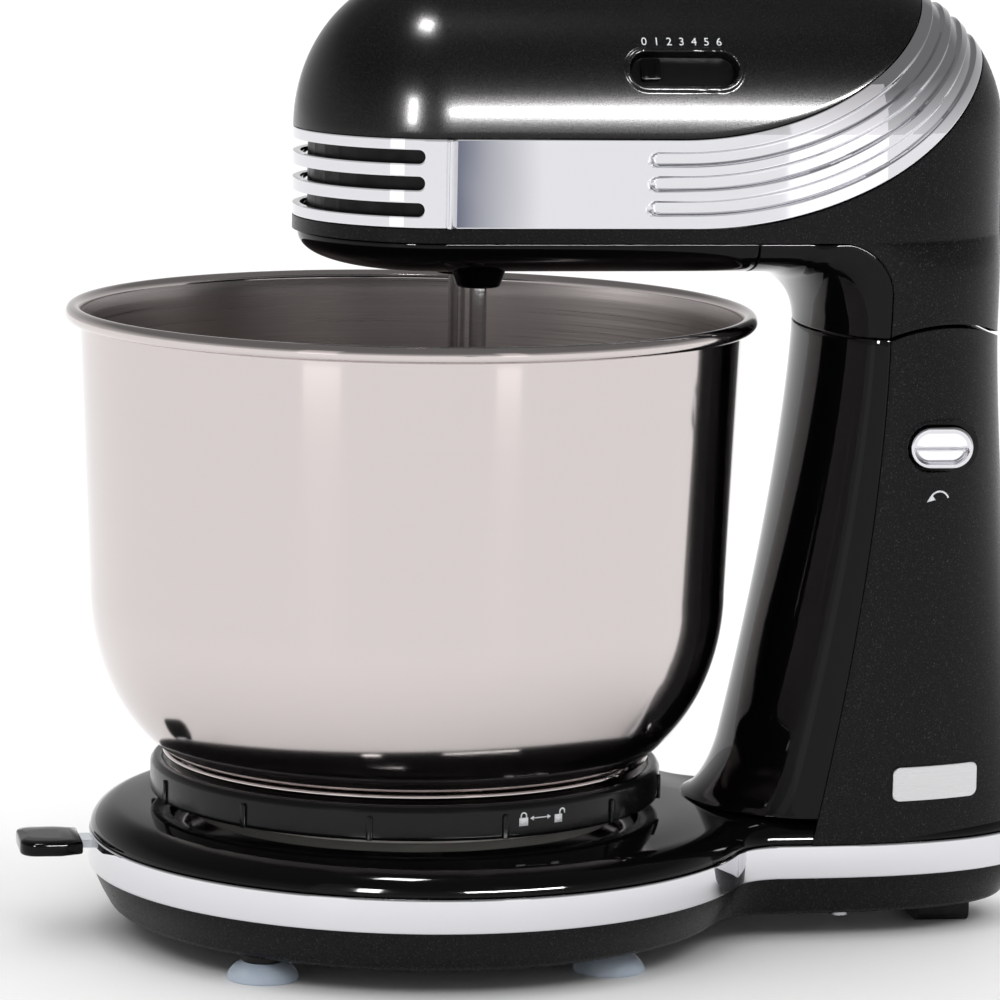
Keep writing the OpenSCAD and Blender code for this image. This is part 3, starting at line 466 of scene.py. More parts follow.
def metal(name, color, rough, grain=(600, 600, 600)):
    look, tree, shader = new_look(name, color, rough, metal=1)
    marks = noise(tree, 1.0, 4, grain)
    tree.links.new(ramp(tree, marks, [(0.3, rough * 0.7), (0.7, rough * 1.4)]), shader.inputs["Roughness"])
    dark = tuple(c * 0.86 for c in color)
    tree.links.new(ramp(tree, marks, [(0.3, dark), (0.7, color)]), shader.inputs["Base Color"])
    bump(tree, shader, marks, 0.08, 0.0002)
    return look


def plastic(name, color, rough):
    look, tree, shader = new_look(name, color, rough, specular=0.4)
    tree.links.new(ramp(tree, noise(tree, 400, 3), [(0.3, rough * 0.8), (0.7, rough * 1.25)]),
                   shader.inputs["Roughness"])
    bump(tree, shader, noise(tree, 700, 2), 0.05, 0.0003)
    return look


def printed():
    look, tree, shader = new_look("white_print", (0.82, 0.84, 0.86), 0.4, specular=0.3)
    tree.links.new(ramp(tree, noise(tree, 3000, 1), [(0.3, (0.74, 0.76, 0.78)), (0.7, (0.88, 0.9, 0.92))]),
                   shader.inputs["Base Color"])
    return look


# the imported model's own materials may hold the plain names already, so a look's name can end in .001
LOOK = {look.name.split(".")[0]: look for look in (
    gloss_black(), gloss_flake(), speckled_plastic(), chrome(), silicone(), rubber(), printed(),
    bowl_steel("bowl_outside", (0.63, 0.575, 0.565), 0.11, 0.08),
    bowl_steel("bowl_inside", (0.56, 0.51, 0.50), 0.3, 0.8),
    satin_black("collar_black", 0.005, 0.2),
    satin_black("matte_black", 0.004, 0.38),
    metal("plated_steel", (0.62, 0.62, 0.64), 0.3),
    metal("spring_steel", (0.5, 0.5, 0.52), 0.3),
    metal("beater_steel", (0.74, 0.73, 0.73), 0.1, (200, 200, 2500)),
    metal("badge_metal", (0.75, 0.75, 0.76), 0.34, (60, 60, 3000)),
    metal("die_cast", (0.5, 0.5, 0.51), 0.5),
    metal("motor_steel", (0.3, 0.29, 0.28), 0.4),
    metal("bronze", (0.55, 0.38, 0.18), 0.4),
    plastic("white_nylon", (0.8, 0.78, 0.72), 0.45),
    plastic("switch_board", (0.02, 0.16, 0.06), 0.4),
    plastic("clear_stem", (0.78, 0.82, 0.86), 0.15),
)}


# ---------------------------------------------------------------- head surfaces
def swoosh(curve_of, gap=0.0, count=200):
    """Points (y, z) of a swoosh in side view, moved outwards by gap."""
    centre, reach, low, rise = curve_of
    a = np.linspace(0, math.pi / 2, count)
    return centre + (reach + gap) * np.sin(a), low + rise - (rise + gap) * np.cos(a)


def swoosh_z(curve_of, y, gap=0.0):
    """Height of a swoosh at y."""
    centre, reach, low, rise = curve_of
    s = np.clip((y - centre) / (reach + gap), 0, 1)
    return low + rise - (rise + gap) * np.sqrt(1 - s * s)


def end_scale(y):
    """Share of the dome's cross-section left at a place along the head."""
    front = 1 - (np.maximum(DOME_FRONT - y, 0) / (DOME_FRONT - NOSE_Y)) ** 2
    back = 1 - (np.maximum(y - DOME_BACK, 0) / (REAR_Y - DOME_BACK)) ** 2
    return np.sqrt(np.maximum(np.minimum(front, back), 0))


def head_x(y, z):
    """Half width of the upper head at a place in side view."""
    up = np.clip((z - DOME_Z) / DOME_H, 0, 1)
    s = np.sqrt(np.maximum(1 - up * up, 0))
    s_safe = np.maximum(s, 1e-9)
    front = np.maximum(DOME_FRONT - y, 0) / ((DOME_FRONT - NOSE_Y) * s_safe)
    back = np.maximum(y - DOME_BACK, 0) / ((REAR_Y - DOME_BACK) * s_safe)
    return HEAD_W * s * np.sqrt(np.maximum(1 - np.maximum(front, back) ** 2, 0))


def on_section(t, y):
    """Point of the dome's full cross-section, turned by t from its widest line."""
    return np.array([HEAD_W * math.cos(t), y, DOME_Z + DOME_H * math.sin(t)])


def nose_to(y_end, count):
    """Plan points from the nose, on x = 0, round the right-hand side to y_end."""
    w, f = HEAD_W, DOME_FRONT - NOSE_Y
    turn = int(count * 0.62)
    a = np.linspace(0, math.pi / 2, turn)
    arc = np.stack([w * np.sin(a), DOME_FRONT - f * np.cos(a)], 1)
    line = np.stack([np.full(count - turn, w), np.linspace(DOME_FRONT, y_end, count - turn + 1)[1:]], 1)
    return np.concatenate([arc, line])


def head_top():
    """Upper shell: meridians round the nose, then slices to where the swoosh crosses the top."""
    z0 = DOME_Z + GAP / 2
    ends = swoosh(SWOOSH_IN, -GAP / 2, 400)
    top = DOME_Z + DOME_H * end_scale(ends[0])
    cross = ends[0][np.argmax(ends[1] > top)]
    y = np.concatenate([np.linspace(DOME_FRONT, 55, 26)[1:], np.arange(55.4, 91.4, 0.42),
                        cross - (cross - 92) * np.linspace(1, 0, 46) ** 1.6])
    rows = np.unique(np.concatenate([np.linspace(0, 1, 40), np.linspace(0.17, 0.42, 56)]))
    columns = []
    for a in np.linspace(math.pi / 2, 0, 34):
        t = lerp(math.asin((z0 - DOME_Z) / DOME_H), math.pi / 2, rows)
        columns.append(np.stack([HEAD_W * math.cos(a) * np.cos(t),
                                 DOME_FRONT - (DOME_FRONT - NOSE_Y) * math.sin(a) * np.cos(t),
                                 DOME_Z + DOME_H * np.sin(t)], 1))
    for at in y:
        k = float(end_scale(np.array(at)))
        low = max(swoosh_z(SWOOSH_IN, at, -GAP / 2), z0) + GAP / 2
        start = math.asin(min((low - DOME_Z) / (DOME_H * max(k, 1e-6)), 1))
        t = lerp(start, math.pi / 2, rows)
        columns.append(np.stack([HEAD_W * k * np.cos(t), np.full(len(t), at),
                                 DOME_Z + DOME_H * k * np.sin(t)], 1))
    grid = both_sides(np.stack(columns))
    # window of the slider: a lip round a pill-shaped well, on the right-hand side only
    centre = on_section(SLIDER_TILT, SLIDER_Y)
    up = np.array([-HEAD_W * math.sin(SLIDER_TILT), 0, DOME_H * math.cos(SLIDER_TILT)])
    up /= np.linalg.norm(up)
    away = grid - centre
    d = pill_distance(away[..., 1], away @ up, SLIDER_W, SLIDER_H)
    d[grid[..., 0] < 5] = 99
    lip = 0.55 * smooth((2.0 - d) / 0.8) * smooth((d + 0.1) / 0.5)
    well = -3.4 * smooth((0.15 - d) / 0.7)
    out = normals(grid)
    out *= np.sign((out * (grid - head_core(grid.reshape(-1, 3)).reshape(grid.shape))).sum(2, keepdims=True))
    return grid + out * (lip + well)[..., None], centre, up


def chrome_band():
    """Band that runs along the side and sweeps over the top, with three sunk channels."""
    columns = []
    shares = np.linspace(0, 1, 90)
    count = 230
    for w in shares:
        centre, reach, low, rise = (lerp(a, b, w) for a, b in zip(
            (SWOOSH_OUT[0], SWOOSH_OUT[1] - GAP / 2, SWOOSH_OUT[2] + GAP / 2, SWOOSH_OUT[3] - GAP / 2),
            (SWOOSH_IN[0], SWOOSH_IN[1] + GAP / 2, SWOOSH_IN[2] - GAP / 2, SWOOSH_IN[3] + GAP / 2)))
        a = np.linspace(0, math.pi / 2, 1500)
        y, z = centre + reach * np.sin(a), low + rise * (1 - np.cos(a))
        gone = head_x(y, z) <= 0
        last = a[np.argmax(gone)] if gone.any() else a[-1]
        q = np.linspace(1, 0, 500)
        a = last * (1 - q * q)
        y, z = centre + reach * np.sin(a), low + rise * (1 - np.cos(a))
        x = head_x(y, z)
        x[-1] = 0
        straight = np.linspace(CREASE_Y, centre, 60, endpoint=False)
        p = np.concatenate([np.stack([head_x(straight, np.full(60, low)), straight, np.full(60, low)], 1),
                            np.stack([x, y, z], 1)])
        columns.append(evenly(p, np.linspace(0, 1, count)))
    half = np.stack(columns)
    run = np.concatenate([np.zeros((len(shares), 1)),
                          np.cumsum(np.linalg.norm(np.diff(half, axis=1), axis=2), axis=1)], 1)
    across = np.concatenate([np.zeros((1, count)),
                             np.cumsum(np.linalg.norm(np.diff(half, axis=0), axis=2), axis=0)])
    width = across[-1]
    depth = np.zeros(half.shape[:2])
    for share in CHANNELS:
        gap = across - share * width
        wide = CHANNEL_W * width / width[0] / 2
        start = CHANNEL_START - CREASE_Y + wide
        d = np.hypot(np.minimum(run - start, 0), gap) - wide
        depth = np.maximum(depth, 1.15 * smooth((0.25 - d) / 0.7))
    out = normals(half)
    out *= np.sign((out * (half - head_core(half.reshape(-1, 3)).reshape(half.shape))).sum(2, keepdims=True))
    half = half - out * depth[..., None]
    half[:, -1, 0] = 0
    return both_sides(half)


def front_grille():
    """Chrome front with three open slots; rows bend round the slots' round ends."""
    plan = nose_to(CREASE_Y - GAP, 120)
    run = np.concatenate([[0], np.cumsum(np.linalg.norm(np.diff(plan, axis=0), axis=1))])
    end_y = -5.4
    half_h = 2.0
    stop = np.interp(end_y, plan[:, 1], run)
    t = np.concatenate([np.linspace(0, stop, 90), stop + half_h * np.sin(np.linspace(0, math.pi / 2, 9))[1:],
                        np.linspace(stop + half_h, run[-1], 12)[1:]])
    xy = np.stack([np.interp(t, run, plan[:, k]) for k in range(2)], 1)
    open_h = half_h * np.sqrt(np.clip(1 - np.maximum((t - stop) / half_h, 0) ** 2, 0, 1))
    slots = [GRILLE_Z + 5.4 + 7.7 * i for i in range(3)]
    low, high = GRILLE[0][2], GRILLE[1][2]
    lines, hole = [], []
    edges = [np.full(len(t), low), *(z + s * open_h for z in slots for s in (-1, 1)), np.full(len(t), high)]
    for i in range(len(edges) - 1):
        inner = i % 2 == 1
        for k in range(1 if inner else 6):
            lines.append(lerp(edges[i], edges[i + 1], k / (1 if inner else 6)))
            hole.append(inner)
    lines.append(edges[-1])
    grid = np.stack([np.stack([xy[:, 0], xy[:, 1], z], 1) for z in lines])
    grid = both_sides(grid[:, ::-1])
    keep = np.ones((grid.shape[0] - 1, grid.shape[1] - 1), bool)
    opened = both_sides(np.stack([np.stack([open_h, open_h, open_h], 1)])[:, ::-1])[0, :, 1]
    for i, inner in enumerate(hole):
        if inner:
            keep[i] = np.minimum(opened[1:], opened[:-1]) < -1
    return grid, keep


def rear_section(z):
    """Half width, centre, rear and power of the head's rear section at a height."""
    t = smooth((z - (SHELL_Z - 9)) / 18)
    up = np.clip((z - DOME_Z) / DOME_H, 0, 0.99999)
    s = np.sqrt(1 - up * up)
    w = lerp(half_w(z), HEAD_W * s, t)
    c = lerp(edge_y(z), DOME_BACK, t)
    r = lerp(REAR_Y, DOME_BACK + (REAR_Y - DOME_BACK) * s, t)
    return w, c, r, lerp(2.2, 2.0, t)


def down(z):
    """Share of the way from the seam down to the deck."""
    return np.maximum(0, (SEAM_Z - z) / (SEAM_Z - DECK_TOP))


def edge_y(z):
    """The line between the gloss front and the speckled sides, in side view."""
    up = np.clip(z - (SHELL_Z - EDGE_R), 0, EDGE_R)
    return EDGE_Y - 17.5 * down(z) ** 1.7 - (EDGE_R - np.sqrt(EDGE_R ** 2 - up ** 2))


def half_w(z):
    """Half width of the column and of the neck over it."""
    s = np.clip((z - SEAM_Z) / (SHELL_Z + 8 - SEAM_Z), 0, 1)
    over = COLUMN_W + (HEAD_W - COLUMN_W) * (2 * s - s * s)
    under = COLUMN_W - (COLUMN_W - TAIL_W) * np.minimum(1, down(z))
    return np.where(z > SEAM_Z, over, under)


def front_y(z):
    """The column's front on x = 0."""
    up = np.clip(z - SEAM_Z, 0, FILLET)
    return FRONT_Y - 24.5 * down(z) ** 1.4 - (FILLET - np.sqrt(FILLET ** 2 - up ** 2))


def rear_y(z):
    """The column's rear on x = 0."""
    return REAR_Y + 13.2 * np.minimum(1, down(z)) ** 1.4


def turned(a, z, section):
    """Point of a rear section: a runs from 0 at its edge to a right angle at the rear."""
    w, c, r, n = section(z)
    s, k = np.sin(np.maximum(a, 0)), np.cos(np.maximum(a, 0))
    return np.stack([w * curve(k, n), np.where(a < 0, c + a * w, c + (r - c) * curve(s, n)), z + 0 * a], -1)


def lower_shell():
    """Speckled shell of the head: the sides and the rear, and the strip under the chrome band."""
    cols, edge_rows, side_rows = 130, 78, 22
    arch = SEAM_R + SEAM_GAP
    corner = EDGE_Y + GAP / 2
    z_low = PIVOT_Z + math.sqrt(arch ** 2 - (corner - PIVOT_Y) ** 2)
    z_shell = SHELL_Z
    join_y = float(edge_y(np.array(z_shell))) + GAP / 2
    z_top = float(swoosh_z(SWOOSH_OUT, join_y, GAP / 2)) - GAP
    # left side: up the edge line, round its turn and up to the band
    turn = np.linspace(0, math.pi / 2, edge_rows - 17)
    z_left = np.concatenate([np.linspace(z_low, SHELL_Z - EDGE_R, 18)[:-1],
                             SHELL_Z - EDGE_R + EDGE_R * np.sin(turn),
                             np.linspace(z_shell, z_top, side_rows)[1:]])
    y_left = edge_y(np.minimum(z_left, SHELL_Z)) + GAP / 2
    w, c, r, n = rear_section(z_left)
    past = np.clip((y_left - c) / (r - c), 0, 1)
    a_left = np.where(y_left < c, (y_left - c) / w, np.arcsin(past ** (n / 2)))
    p = np.linspace(0, 1, cols)
    # bottom: the arch about the hinge
    a_low = lerp(a_left[0], math.pi / 2, p)
    z_arch = np.full(cols, z_low)
    for _ in range(30):
        y = turned(a_low, z_arch, rear_section)[:, 1]
        z_arch = PIVOT_Z + np.sqrt(arch ** 2 - (y - PIVOT_Y) ** 2)
    # top: the swoosh
    a_top = lerp(a_left[-1], math.pi / 2, p)
    low, high = np.full(cols, SHELL_Z - 5.0), np.full(cols, TOP_Z)
    for _ in range(50):
        mid = (low + high) / 2
        y = turned(a_top, mid, rear_section)[:, 1]
        above = mid > swoosh_z(SWOOSH_OUT, y, GAP / 2) - GAP
        high, low = np.where(above, mid, high), np.where(above, low, mid)
    z_swoosh = (low + high) / 2
    q = np.concatenate([[0], np.cumsum(np.hypot(np.diff(z_left), np.diff(y_left)))])
    q = (q / q[-1])[:, None]
    a_left, z_left = a_left[:, None], z_left[:, None]
    z_right = lerp(z_arch[-1], z_swoosh[-1], q)
    z = (1 - q) * z_arch + q * z_swoosh + (1 - p) * z_left + p * z_right \
        - ((1 - q) * ((1 - p) * z_arch[0] + p * z_arch[-1]) + q * ((1 - p) * z_swoosh[0] + p * z_swoosh[-1]))
    a = lerp(a_left, math.pi / 2, p)
    rear = turned(a, z, rear_section)
    rear[:, -1, 0] = 0
    # strip from the nose to the join
    plan = nose_to(join_y, 150)
    plan[-1] = rear[edge_rows - 1, 0, :2]
    z_high = np.maximum(swoosh_z(SWOOSH_OUT, plan[:, 1], GAP / 2), GRILLE_Z + GAP / 2) - GAP
    rows = np.linspace(0, 1, side_rows)
    strip = np.stack([np.stack([plan[:, 0], plan[:, 1], lerp(z_shell, z_high, k)], 1) for k in rows])
    strip[:, -1] = rear[edge_rows - 1:, 0]
    # the recess of the rear vent
    d = pill_distance(rear[..., 2] - VENT_Z, rear[..., 0], VENT_H + 1.0, VENT_W + 1.0)
    d[rear[..., 1] < REAR_Y - 20] = 99
    shift = 0.5 * smooth((2.4 - d) / 1.2) * smooth((d + 0.2) / 0.9) - 3.2 * smooth((0.3 - d) / 1.4)
    rear[..., 1] += shift
    return both_sides(strip[:, ::-1]), both_sides(rear)


def join_sheets(name, grids, body, slot, nodes, inside, wall=WALL, bevel=0.35, weld=0.05):
    """Several grids welded into one panel."""
    verts, faces, base = [], [], 0
    for grid in grids:
        f = outward(grid, cells(*grid.shape[:2]), inside)
        faces += [tuple(r) for r in f + base]
        verts.append(grid.reshape(-1, 3))
        base += grid.shape[0] * grid.shape[1]
    return make(name, np.concatenate(verts), faces, body, slot, nodes, bevel, wall, weld=weld)


def neck_cover():
    """Gloss cover under the head: from the seam up the fillet to the belly."""
    rows, cols = 90, 60
    z_edge = SHELL_Z - EDGE_R
    t = np.linspace(0, math.pi / 2, 60)
    z = np.concatenate([np.linspace(SEAM_Z, z_edge, 30)[:-1], z_edge + EDGE_R * np.sin(t)])
    outer = np.stack([half_w(z), edge_y(z), z], 1)
    outer[:, 1] -= GAP / 2
    outer[:, 2] = np.minimum(outer[:, 2], SHELL_Z - GAP)
    last = outer[-1].copy()
    side = np.linspace(0, 1, 40)[1:, None]
    end = np.array([HEAD_W - COVER_INSET, COVER_END + GAP, SHELL_Z - GAP])
    way = lerp(last, end, side)
    way[:, 0] = lerp(last[0], end[0], smooth(side[:, 0] * 3))
    outer = np.concatenate([outer, way])
    flat = np.linspace(FRONT_Y - FILLET, COVER_END + GAP, 13)[1:]
    centre = np.concatenate([
        np.stack([0 * t, FRONT_Y - FILLET * (1 - np.cos(t)), SEAM_Z + FILLET * np.sin(t)], 1),
        np.stack([0 * flat, flat, 0 * flat + BELLY_Z], 1)])
    share = np.linspace(0, 1, rows)
    o, c = evenly(outer, share), evenly(centre, share)
    a = np.linspace(0, math.pi / 2, cols)
    n = lerp(2.0, 2.5, smooth(share * 1.2))[:, None]
    sin, cos = curve(np.sin(a), n), curve(np.cos(a), n)
    half = np.stack([o[:, :1] * sin, c[:, 1:2] + (o[:, 1:2] - c[:, 1:2]) * (1 - cos),
                     c[:, 2:] + (o[:, 2:] - c[:, 2:]) * (1 - cos)], 2)
    return both_sides(half[:, ::-1])


def belly():
    """Gloss underside of the head, up to the neck cover."""
    a = np.linspace(0, 1, 34) ** 0.8 * math.radians(90)
    grid = []
    for t in a:
        s = float(curve(np.cos(np.array(min(t, math.radians(89.9)))), 2.5))
        z = SHELL_Z - GAP - (BELLY_H - GAP) * float(curve(np.sin(np.array(t)), 2.5))
        w, f = (HEAD_W - COVER_INSET) * s, (DOME_FRONT - NOSE_Y - COVER_INSET) * s
        b = np.linspace(0, math.pi / 2, 60)
        arc = np.stack([w * np.sin(b), DOME_FRONT - f * np.cos(b), np.full(60, z)], 1)
        y = np.linspace(DOME_FRONT, COVER_END, 50)[1:]
        grid.append(np.concatenate([arc, np.stack([np.full(49, w), y, np.full(49, z)], 1)]))
    half = np.stack(grid)
    return both_sides(half[:, ::-1])


# ---------------------------------------------------------------- head pieces
top_grid, SLIDER_AT, SLIDER_UP = head_top()
sheet("head_top_shell_skin", top_grid, "head", "gloss_flake", ["head_top_shell"],
      inside=head_core, bevel=0.4)
sheet("chrome_band_skin", chrome_band(), "head", "chrome", ["chrome_band"], inside=head_core, bevel=0.45)
grille_grid, grille_keep = front_grille()
sheet("front_grille_skin", grille_grid, "head", "chrome", ["front_grille"], inside=head_core,
      keep=grille_keep, bevel=0.3)
strip_grid, rear_grid = lower_shell()
join_sheets("head_lower_shell_skin", [strip_grid, rear_grid], "head", "speckled_plastic",
            ["head_lower_shell"], head_core)
sheet("neck_cover_skin", neck_cover(), "head", "gloss_black", ["neck_cover"], inside=(0, PIVOT_Y, SHELL_Z + 20))
sheet("belly_cover_skin", belly(), "head", "gloss_black", ["belly_cover"], inside=head_core)


def rear_slats():
    """Slats in the rear vent's recess."""
    pitch, straight = 3.4, (VENT_H - VENT_W) / 2
    grid = []
    for i in range(-4, 5):
        off = abs(pitch * i)
        if off > straight:
            wide = math.sqrt(max((VENT_W / 2) ** 2 - (off - straight) ** 2, 1)) - 0.4
        else:
            wide = VENT_W / 2 * math.sqrt(max(1 - (off / (VENT_H / 2 + 1)) ** 6, 0.2)) - 0.3
        grid.append((wide, VENT_Z + pitch * i))
    verts, faces = [], []
    for wide, z in grid:
        b = len(verts)
        for x in (-wide, wide):
            verts += [(x, REAR_Y - deep, z + dz)
                      for deep, dz in ((3.1, 0.9), (3.1, -0.5), (1.3, -1.1), (1.3, 0.1))]
        faces += [(b, b + 1, b + 2, b + 3), (b + 7, b + 6, b + 5, b + 4)]
        faces += [(b + k, b + 4 + k, b + 4 + (k + 1) % 4, b + (k + 1) % 4) for k in range(4)]
    return make("rear_vent_slats", verts, faces, "head", "matte_black", ["rear_vent"], 0.25)


rear_slats()


# ---------------------------------------------------------------- column
def flare(z, reach):
    """How far a wall has run out into the deck at a height."""
    t = np.clip((DECK_TOP + FLARE_H - z) / FLARE_H, 0, 1)
    return reach * (1 - np.sqrt(np.maximum(1 - t * t, 0)))


def column_front():
    """Gloss front of the column, running out into the deck."""
    z = np.concatenate([np.linspace(DECK_TOP - 0.6, DECK_TOP + FLARE_H, 30),
                        np.linspace(DECK_TOP + FLARE_H, SEAM_Z - SEAM_GAP, 60)[1:]])
    a = np.linspace(0, math.pi / 2, 56)
    rows = []
    for h in z:
        w, f, e = float(half_w(h)), float(front_y(h)), float(edge_y(h)) - GAP / 2
        out = float(flare(h, 8.0))
        rows.append(np.stack([w * np.sin(a), e - (e - f + out * np.cos(a)) * np.cos(a), np.full(56, h)], 1))
    return both_sides(np.stack(rows)[:, ::-1])


def column_side():
    """Speckled sides and rear of the column, up to the arch, with the well of the tilt button."""
    r_arch = SEAM_R - SEAM_GAP
    low = DECK_Z + 0.2
    flat = PIVOT_Z + 28
    a = np.unique(np.concatenate([np.radians(np.arange(0, 90.1, 1.4)), np.radians(np.arange(6, 46, 0.5)),
                                  [math.pi / 2]]))
    well_low, well_high = BUTTON[2] - 11, BUTTON[2] + 11       # where the rows lie close together
    z0 = np.unique(np.concatenate([np.arange(low, well_low, 1.6), np.arange(well_low, well_high, 0.36),
                                   np.arange(well_high, flat, 1.2), [flat]]))

    def section(z):
        return half_w(z), edge_y(z) + GAP / 2, rear_y(z), 2.2
    rows = [turned(a, np.full(len(a), h), section) for h in z0]
    z_arch = np.full(len(a), SEAM_Z)
    for _ in range(30):
        y = turned(a, z_arch, section)[:, 1]
        z_arch = PIVOT_Z + np.sqrt(np.maximum(r_arch ** 2 - (y - PIVOT_Y) ** 2, 100))
    for k in np.linspace(0, 1, 18)[1:]:
        rows.append(turned(a, lerp(np.full(len(a), flat), z_arch, k), section))
    half = np.stack(rows)
    half[:, -1, 0] = 0
    left = half * np.array([-1, 1, 1])       # taken before the well, which only the right-hand side has
    d = pill_distance(half[..., 1] - BUTTON[1], half[..., 2] - BUTTON[2], BUTTON_W + 1.5, BUTTON_H + 1.5)
    d[half[..., 0] < 10] = 99
    half[..., 0] += -5.5 * smooth((0.25 - d) / 0.6) + 0.25 * smooth((1.6 - d) / 0.8) * smooth((d + 0.1) / 0.5)
    return np.concatenate([half, left[:, -2::-1]], axis=1)


sheet("column_front_skin", column_front(), "base", "gloss_black", ["column_front_cover"],
      inside=column_core, bevel=0.35)
sheet("column_side_skin", column_side(), "base", "speckled_plastic", ["column_side_shell"],
      inside=column_core, bevel=0.35)


# ---------------------------------------------------------------- base
def plan(d):
    """Outline of the base inset by d, all the way round, as (x, y)."""
    r, hw, rf = DISC_R - d, TAIL_W - d, 17 + d
    cx = hw + rf
    cy = DISC_Y + math.sqrt((r + rf) ** 2 - cx * cx)
    turn = math.atan2(cy - DISC_Y, cx)
    start = max(cy + 1, TAIL_Y - 72)
    a = np.linspace(-math.pi / 2, turn, 120)
    disc = np.stack([r * np.cos(a), DISC_Y + r * np.sin(a)], 1)
    b = np.linspace(math.pi + turn, math.pi, 22)[1:]
    waist = np.stack([cx + rf * np.cos(b), cy + rf * np.sin(b)], 1)
    c = np.linspace(0, math.pi / 2, 60)
    tail = np.stack([hw * curve(np.cos(c), 2.3), start + (TAIL_Y - d - start) * curve(np.sin(c), 2.3)], 1)
    tail[-1, 0] = 0
    half = np.concatenate([disc, waist, tail])
    return np.concatenate([half, half[-2:0:-1] * np.array([-1, 1])])


def ring_of(d, z):
    """The base's outline inset by d, at one height or at one for each point."""
    p = plan(d)
    return np.column_stack([p, np.broadcast_to(z, len(p))])


def deck_height(p):
    """Crown of the deck: it rises a little towards the turntable."""
    r = np.hypot(p[:, 0], p[:, 1])
    return DECK_TOP - 1.6 * smooth((r - 78) / 22)


def base_deck():
    """Crowned deck with a rounded edge; under the turntable it is closed by one face."""
    grid = []
    for t in np.linspace(0, math.pi / 2, 16):
        d = 0.5 + 8.0 * (1 - math.cos(t))
        grid.append(ring_of(d, lerp(DECK_Z + GAP, deck_height(plan(d)), math.sin(t))))
    for d in (10, 12, 14.5, 17, 20, 24, 28, 32, 34.5):
        grid.append(ring_of(d, deck_height(plan(d))))
    return np.stack(grid)


def trim_band():
    """Plated strip round the base, with its edges turned in."""
    profile = rounded([(1.9, BAND_Z), (0.0, BAND_Z), (0.0, DECK_Z), (1.9, DECK_Z)], 0.7, 4)
    return np.stack([ring_of(d + 0.02, z) for d, z in profile])


def base_tray():
    """Tray under the band, drawn in towards the floor."""
    profile = rounded([(14.0, FOOT_H), (8.5, FOOT_H), (6.5, FOOT_H + 1.2), (3.3, FOOT_H + 6.9),
                       (1.0, BAND_Z)], [0, 1.2, 2.5, 2.0, 0], 5)
    return np.stack([ring_of(d, z) for d, z in profile])


deck_grid = base_deck()
deck_faces = [tuple(f) for f in outward(deck_grid, cells(*deck_grid.shape[:2], False, True), (0, 50, -400))]
last_ring = [(deck_grid.shape[0] - 1) * deck_grid.shape[1] + k for k in range(deck_grid.shape[1])]
make("base_deck_skin", deck_grid.reshape(-1, 3), deck_faces + [tuple(last_ring)], "base", "gloss_black",
     ["base_deck"], 0.25, WALL)
band_grid = trim_band()
sheet("trim_band_skin", band_grid, "base", "chrome", ["base_trim_band"],
      inside=lambda p: np.stack([0 * p[:, 0], np.clip(p[:, 1], DISC_Y, TAIL_Y - 40), p[:, 2]], 1),
      wrap=(False, True), wall=0.8, bevel=0)
sheet("base_tray_skin", base_tray(), "base", "speckled_plastic", ["base_tray"],
      inside=(0, 50, 400), wrap=(False, True), wall=2.0, bevel=0.3)


def base_floor():
    """Plain underside of the tray."""
    p = plan(13.5)
    n = len(p)
    verts = np.concatenate([np.concatenate([p, np.full((n, 1), FOOT_H)], 1),
                            np.concatenate([p * 0.995 + [0, 0.2], np.full((n, 1), FOOT_H + 1.6)], 1)])
    faces = [tuple(range(n))[::-1], tuple(range(n, 2 * n))]
    faces += [(i, (i + 1) % n, n + (i + 1) % n, n + i) for i in range(n)]
    return make("base_underside", verts, faces, "base", "speckled_plastic")


base_floor()


# ---------------------------------------------------------------- bowl and turntable
def bowl_profiles():
    """Outer and inner (r, z) lines of the bowl; its rolled lip belongs to the outer one."""
    lip, wall = 2.4, 0.9
    foot_z = FOOT_RING[0][2]
    top_r, low_r, flat_r = RIM_R - 4.6, RIM_R - 8, FOOT_RING[1][0] - 14
    floor_z = foot_z + 5.6
    turn_z = foot_z + (RIM_Z - foot_z) * 0.42

    def side(d):
        a = np.linspace(0, math.pi / 2, 60)
        bend = np.stack([flat_r + (low_r - flat_r - d) * np.sin(a),
                         turn_z - (turn_z - floor_z - d) * np.cos(a)], 1)
        wall_z = np.linspace(turn_z, RIM_Z - 2 * lip - 0.4, 40)[1:]
        return np.concatenate([bend, np.stack([np.linspace(low_r, top_r, 40)[1:] - d, wall_z], 1)])
    bottom = [(0.01, floor_z), (flat_r * 0.5, floor_z), (flat_r - 2, floor_z)]
    t = np.linspace(math.radians(-150), math.radians(180), 40)
    rolled = np.stack([RIM_R - lip + lip * np.cos(t), RIM_Z - lip + lip * np.sin(t)], 1)
    return (np.concatenate([bottom, side(0), rolled]),
            np.concatenate([[rolled[-1]], side(wall)[::-1], [(0.01, floor_z + wall)]]))


bowl_out, bowl_in = (revolve(profile, 256) for profile in bowl_profiles())
BOWL_MIDDLE = (0, 0, 120)
sheet("bowl_outside", bowl_out, "bowl", "bowl_steel", ["bowl"], inside=BOWL_MIDDLE, wrap=(False, True), wall=0,
      bevel=0, angle=60, look="bowl_outside")
faces_in = outward(bowl_in, cells(*bowl_in.shape[:2], False, True), BOWL_MIDDLE)[:, ::-1]
make("bowl_inside", bowl_in.reshape(-1, 3), faces_in, "bowl", "bowl_steel", angle=60, look="bowl_inside")


def bowl_ring():
    """Stepped foot ring under the bowl."""
    r, z = FOOT_RING[1][0], FOOT_RING[0][2]
    profile = rounded([(r - 5, z), (r, z), (r, z + 3.2), (r + 1.6, z + 4.0), (r + 1.6, z + 5.0),
                       (r + 0.4, z + 5.8), (r + 0.4, z + 7.4), (r + 3.0, z + 9.4)], 0.7, 3)
    return revolve(profile, 192)


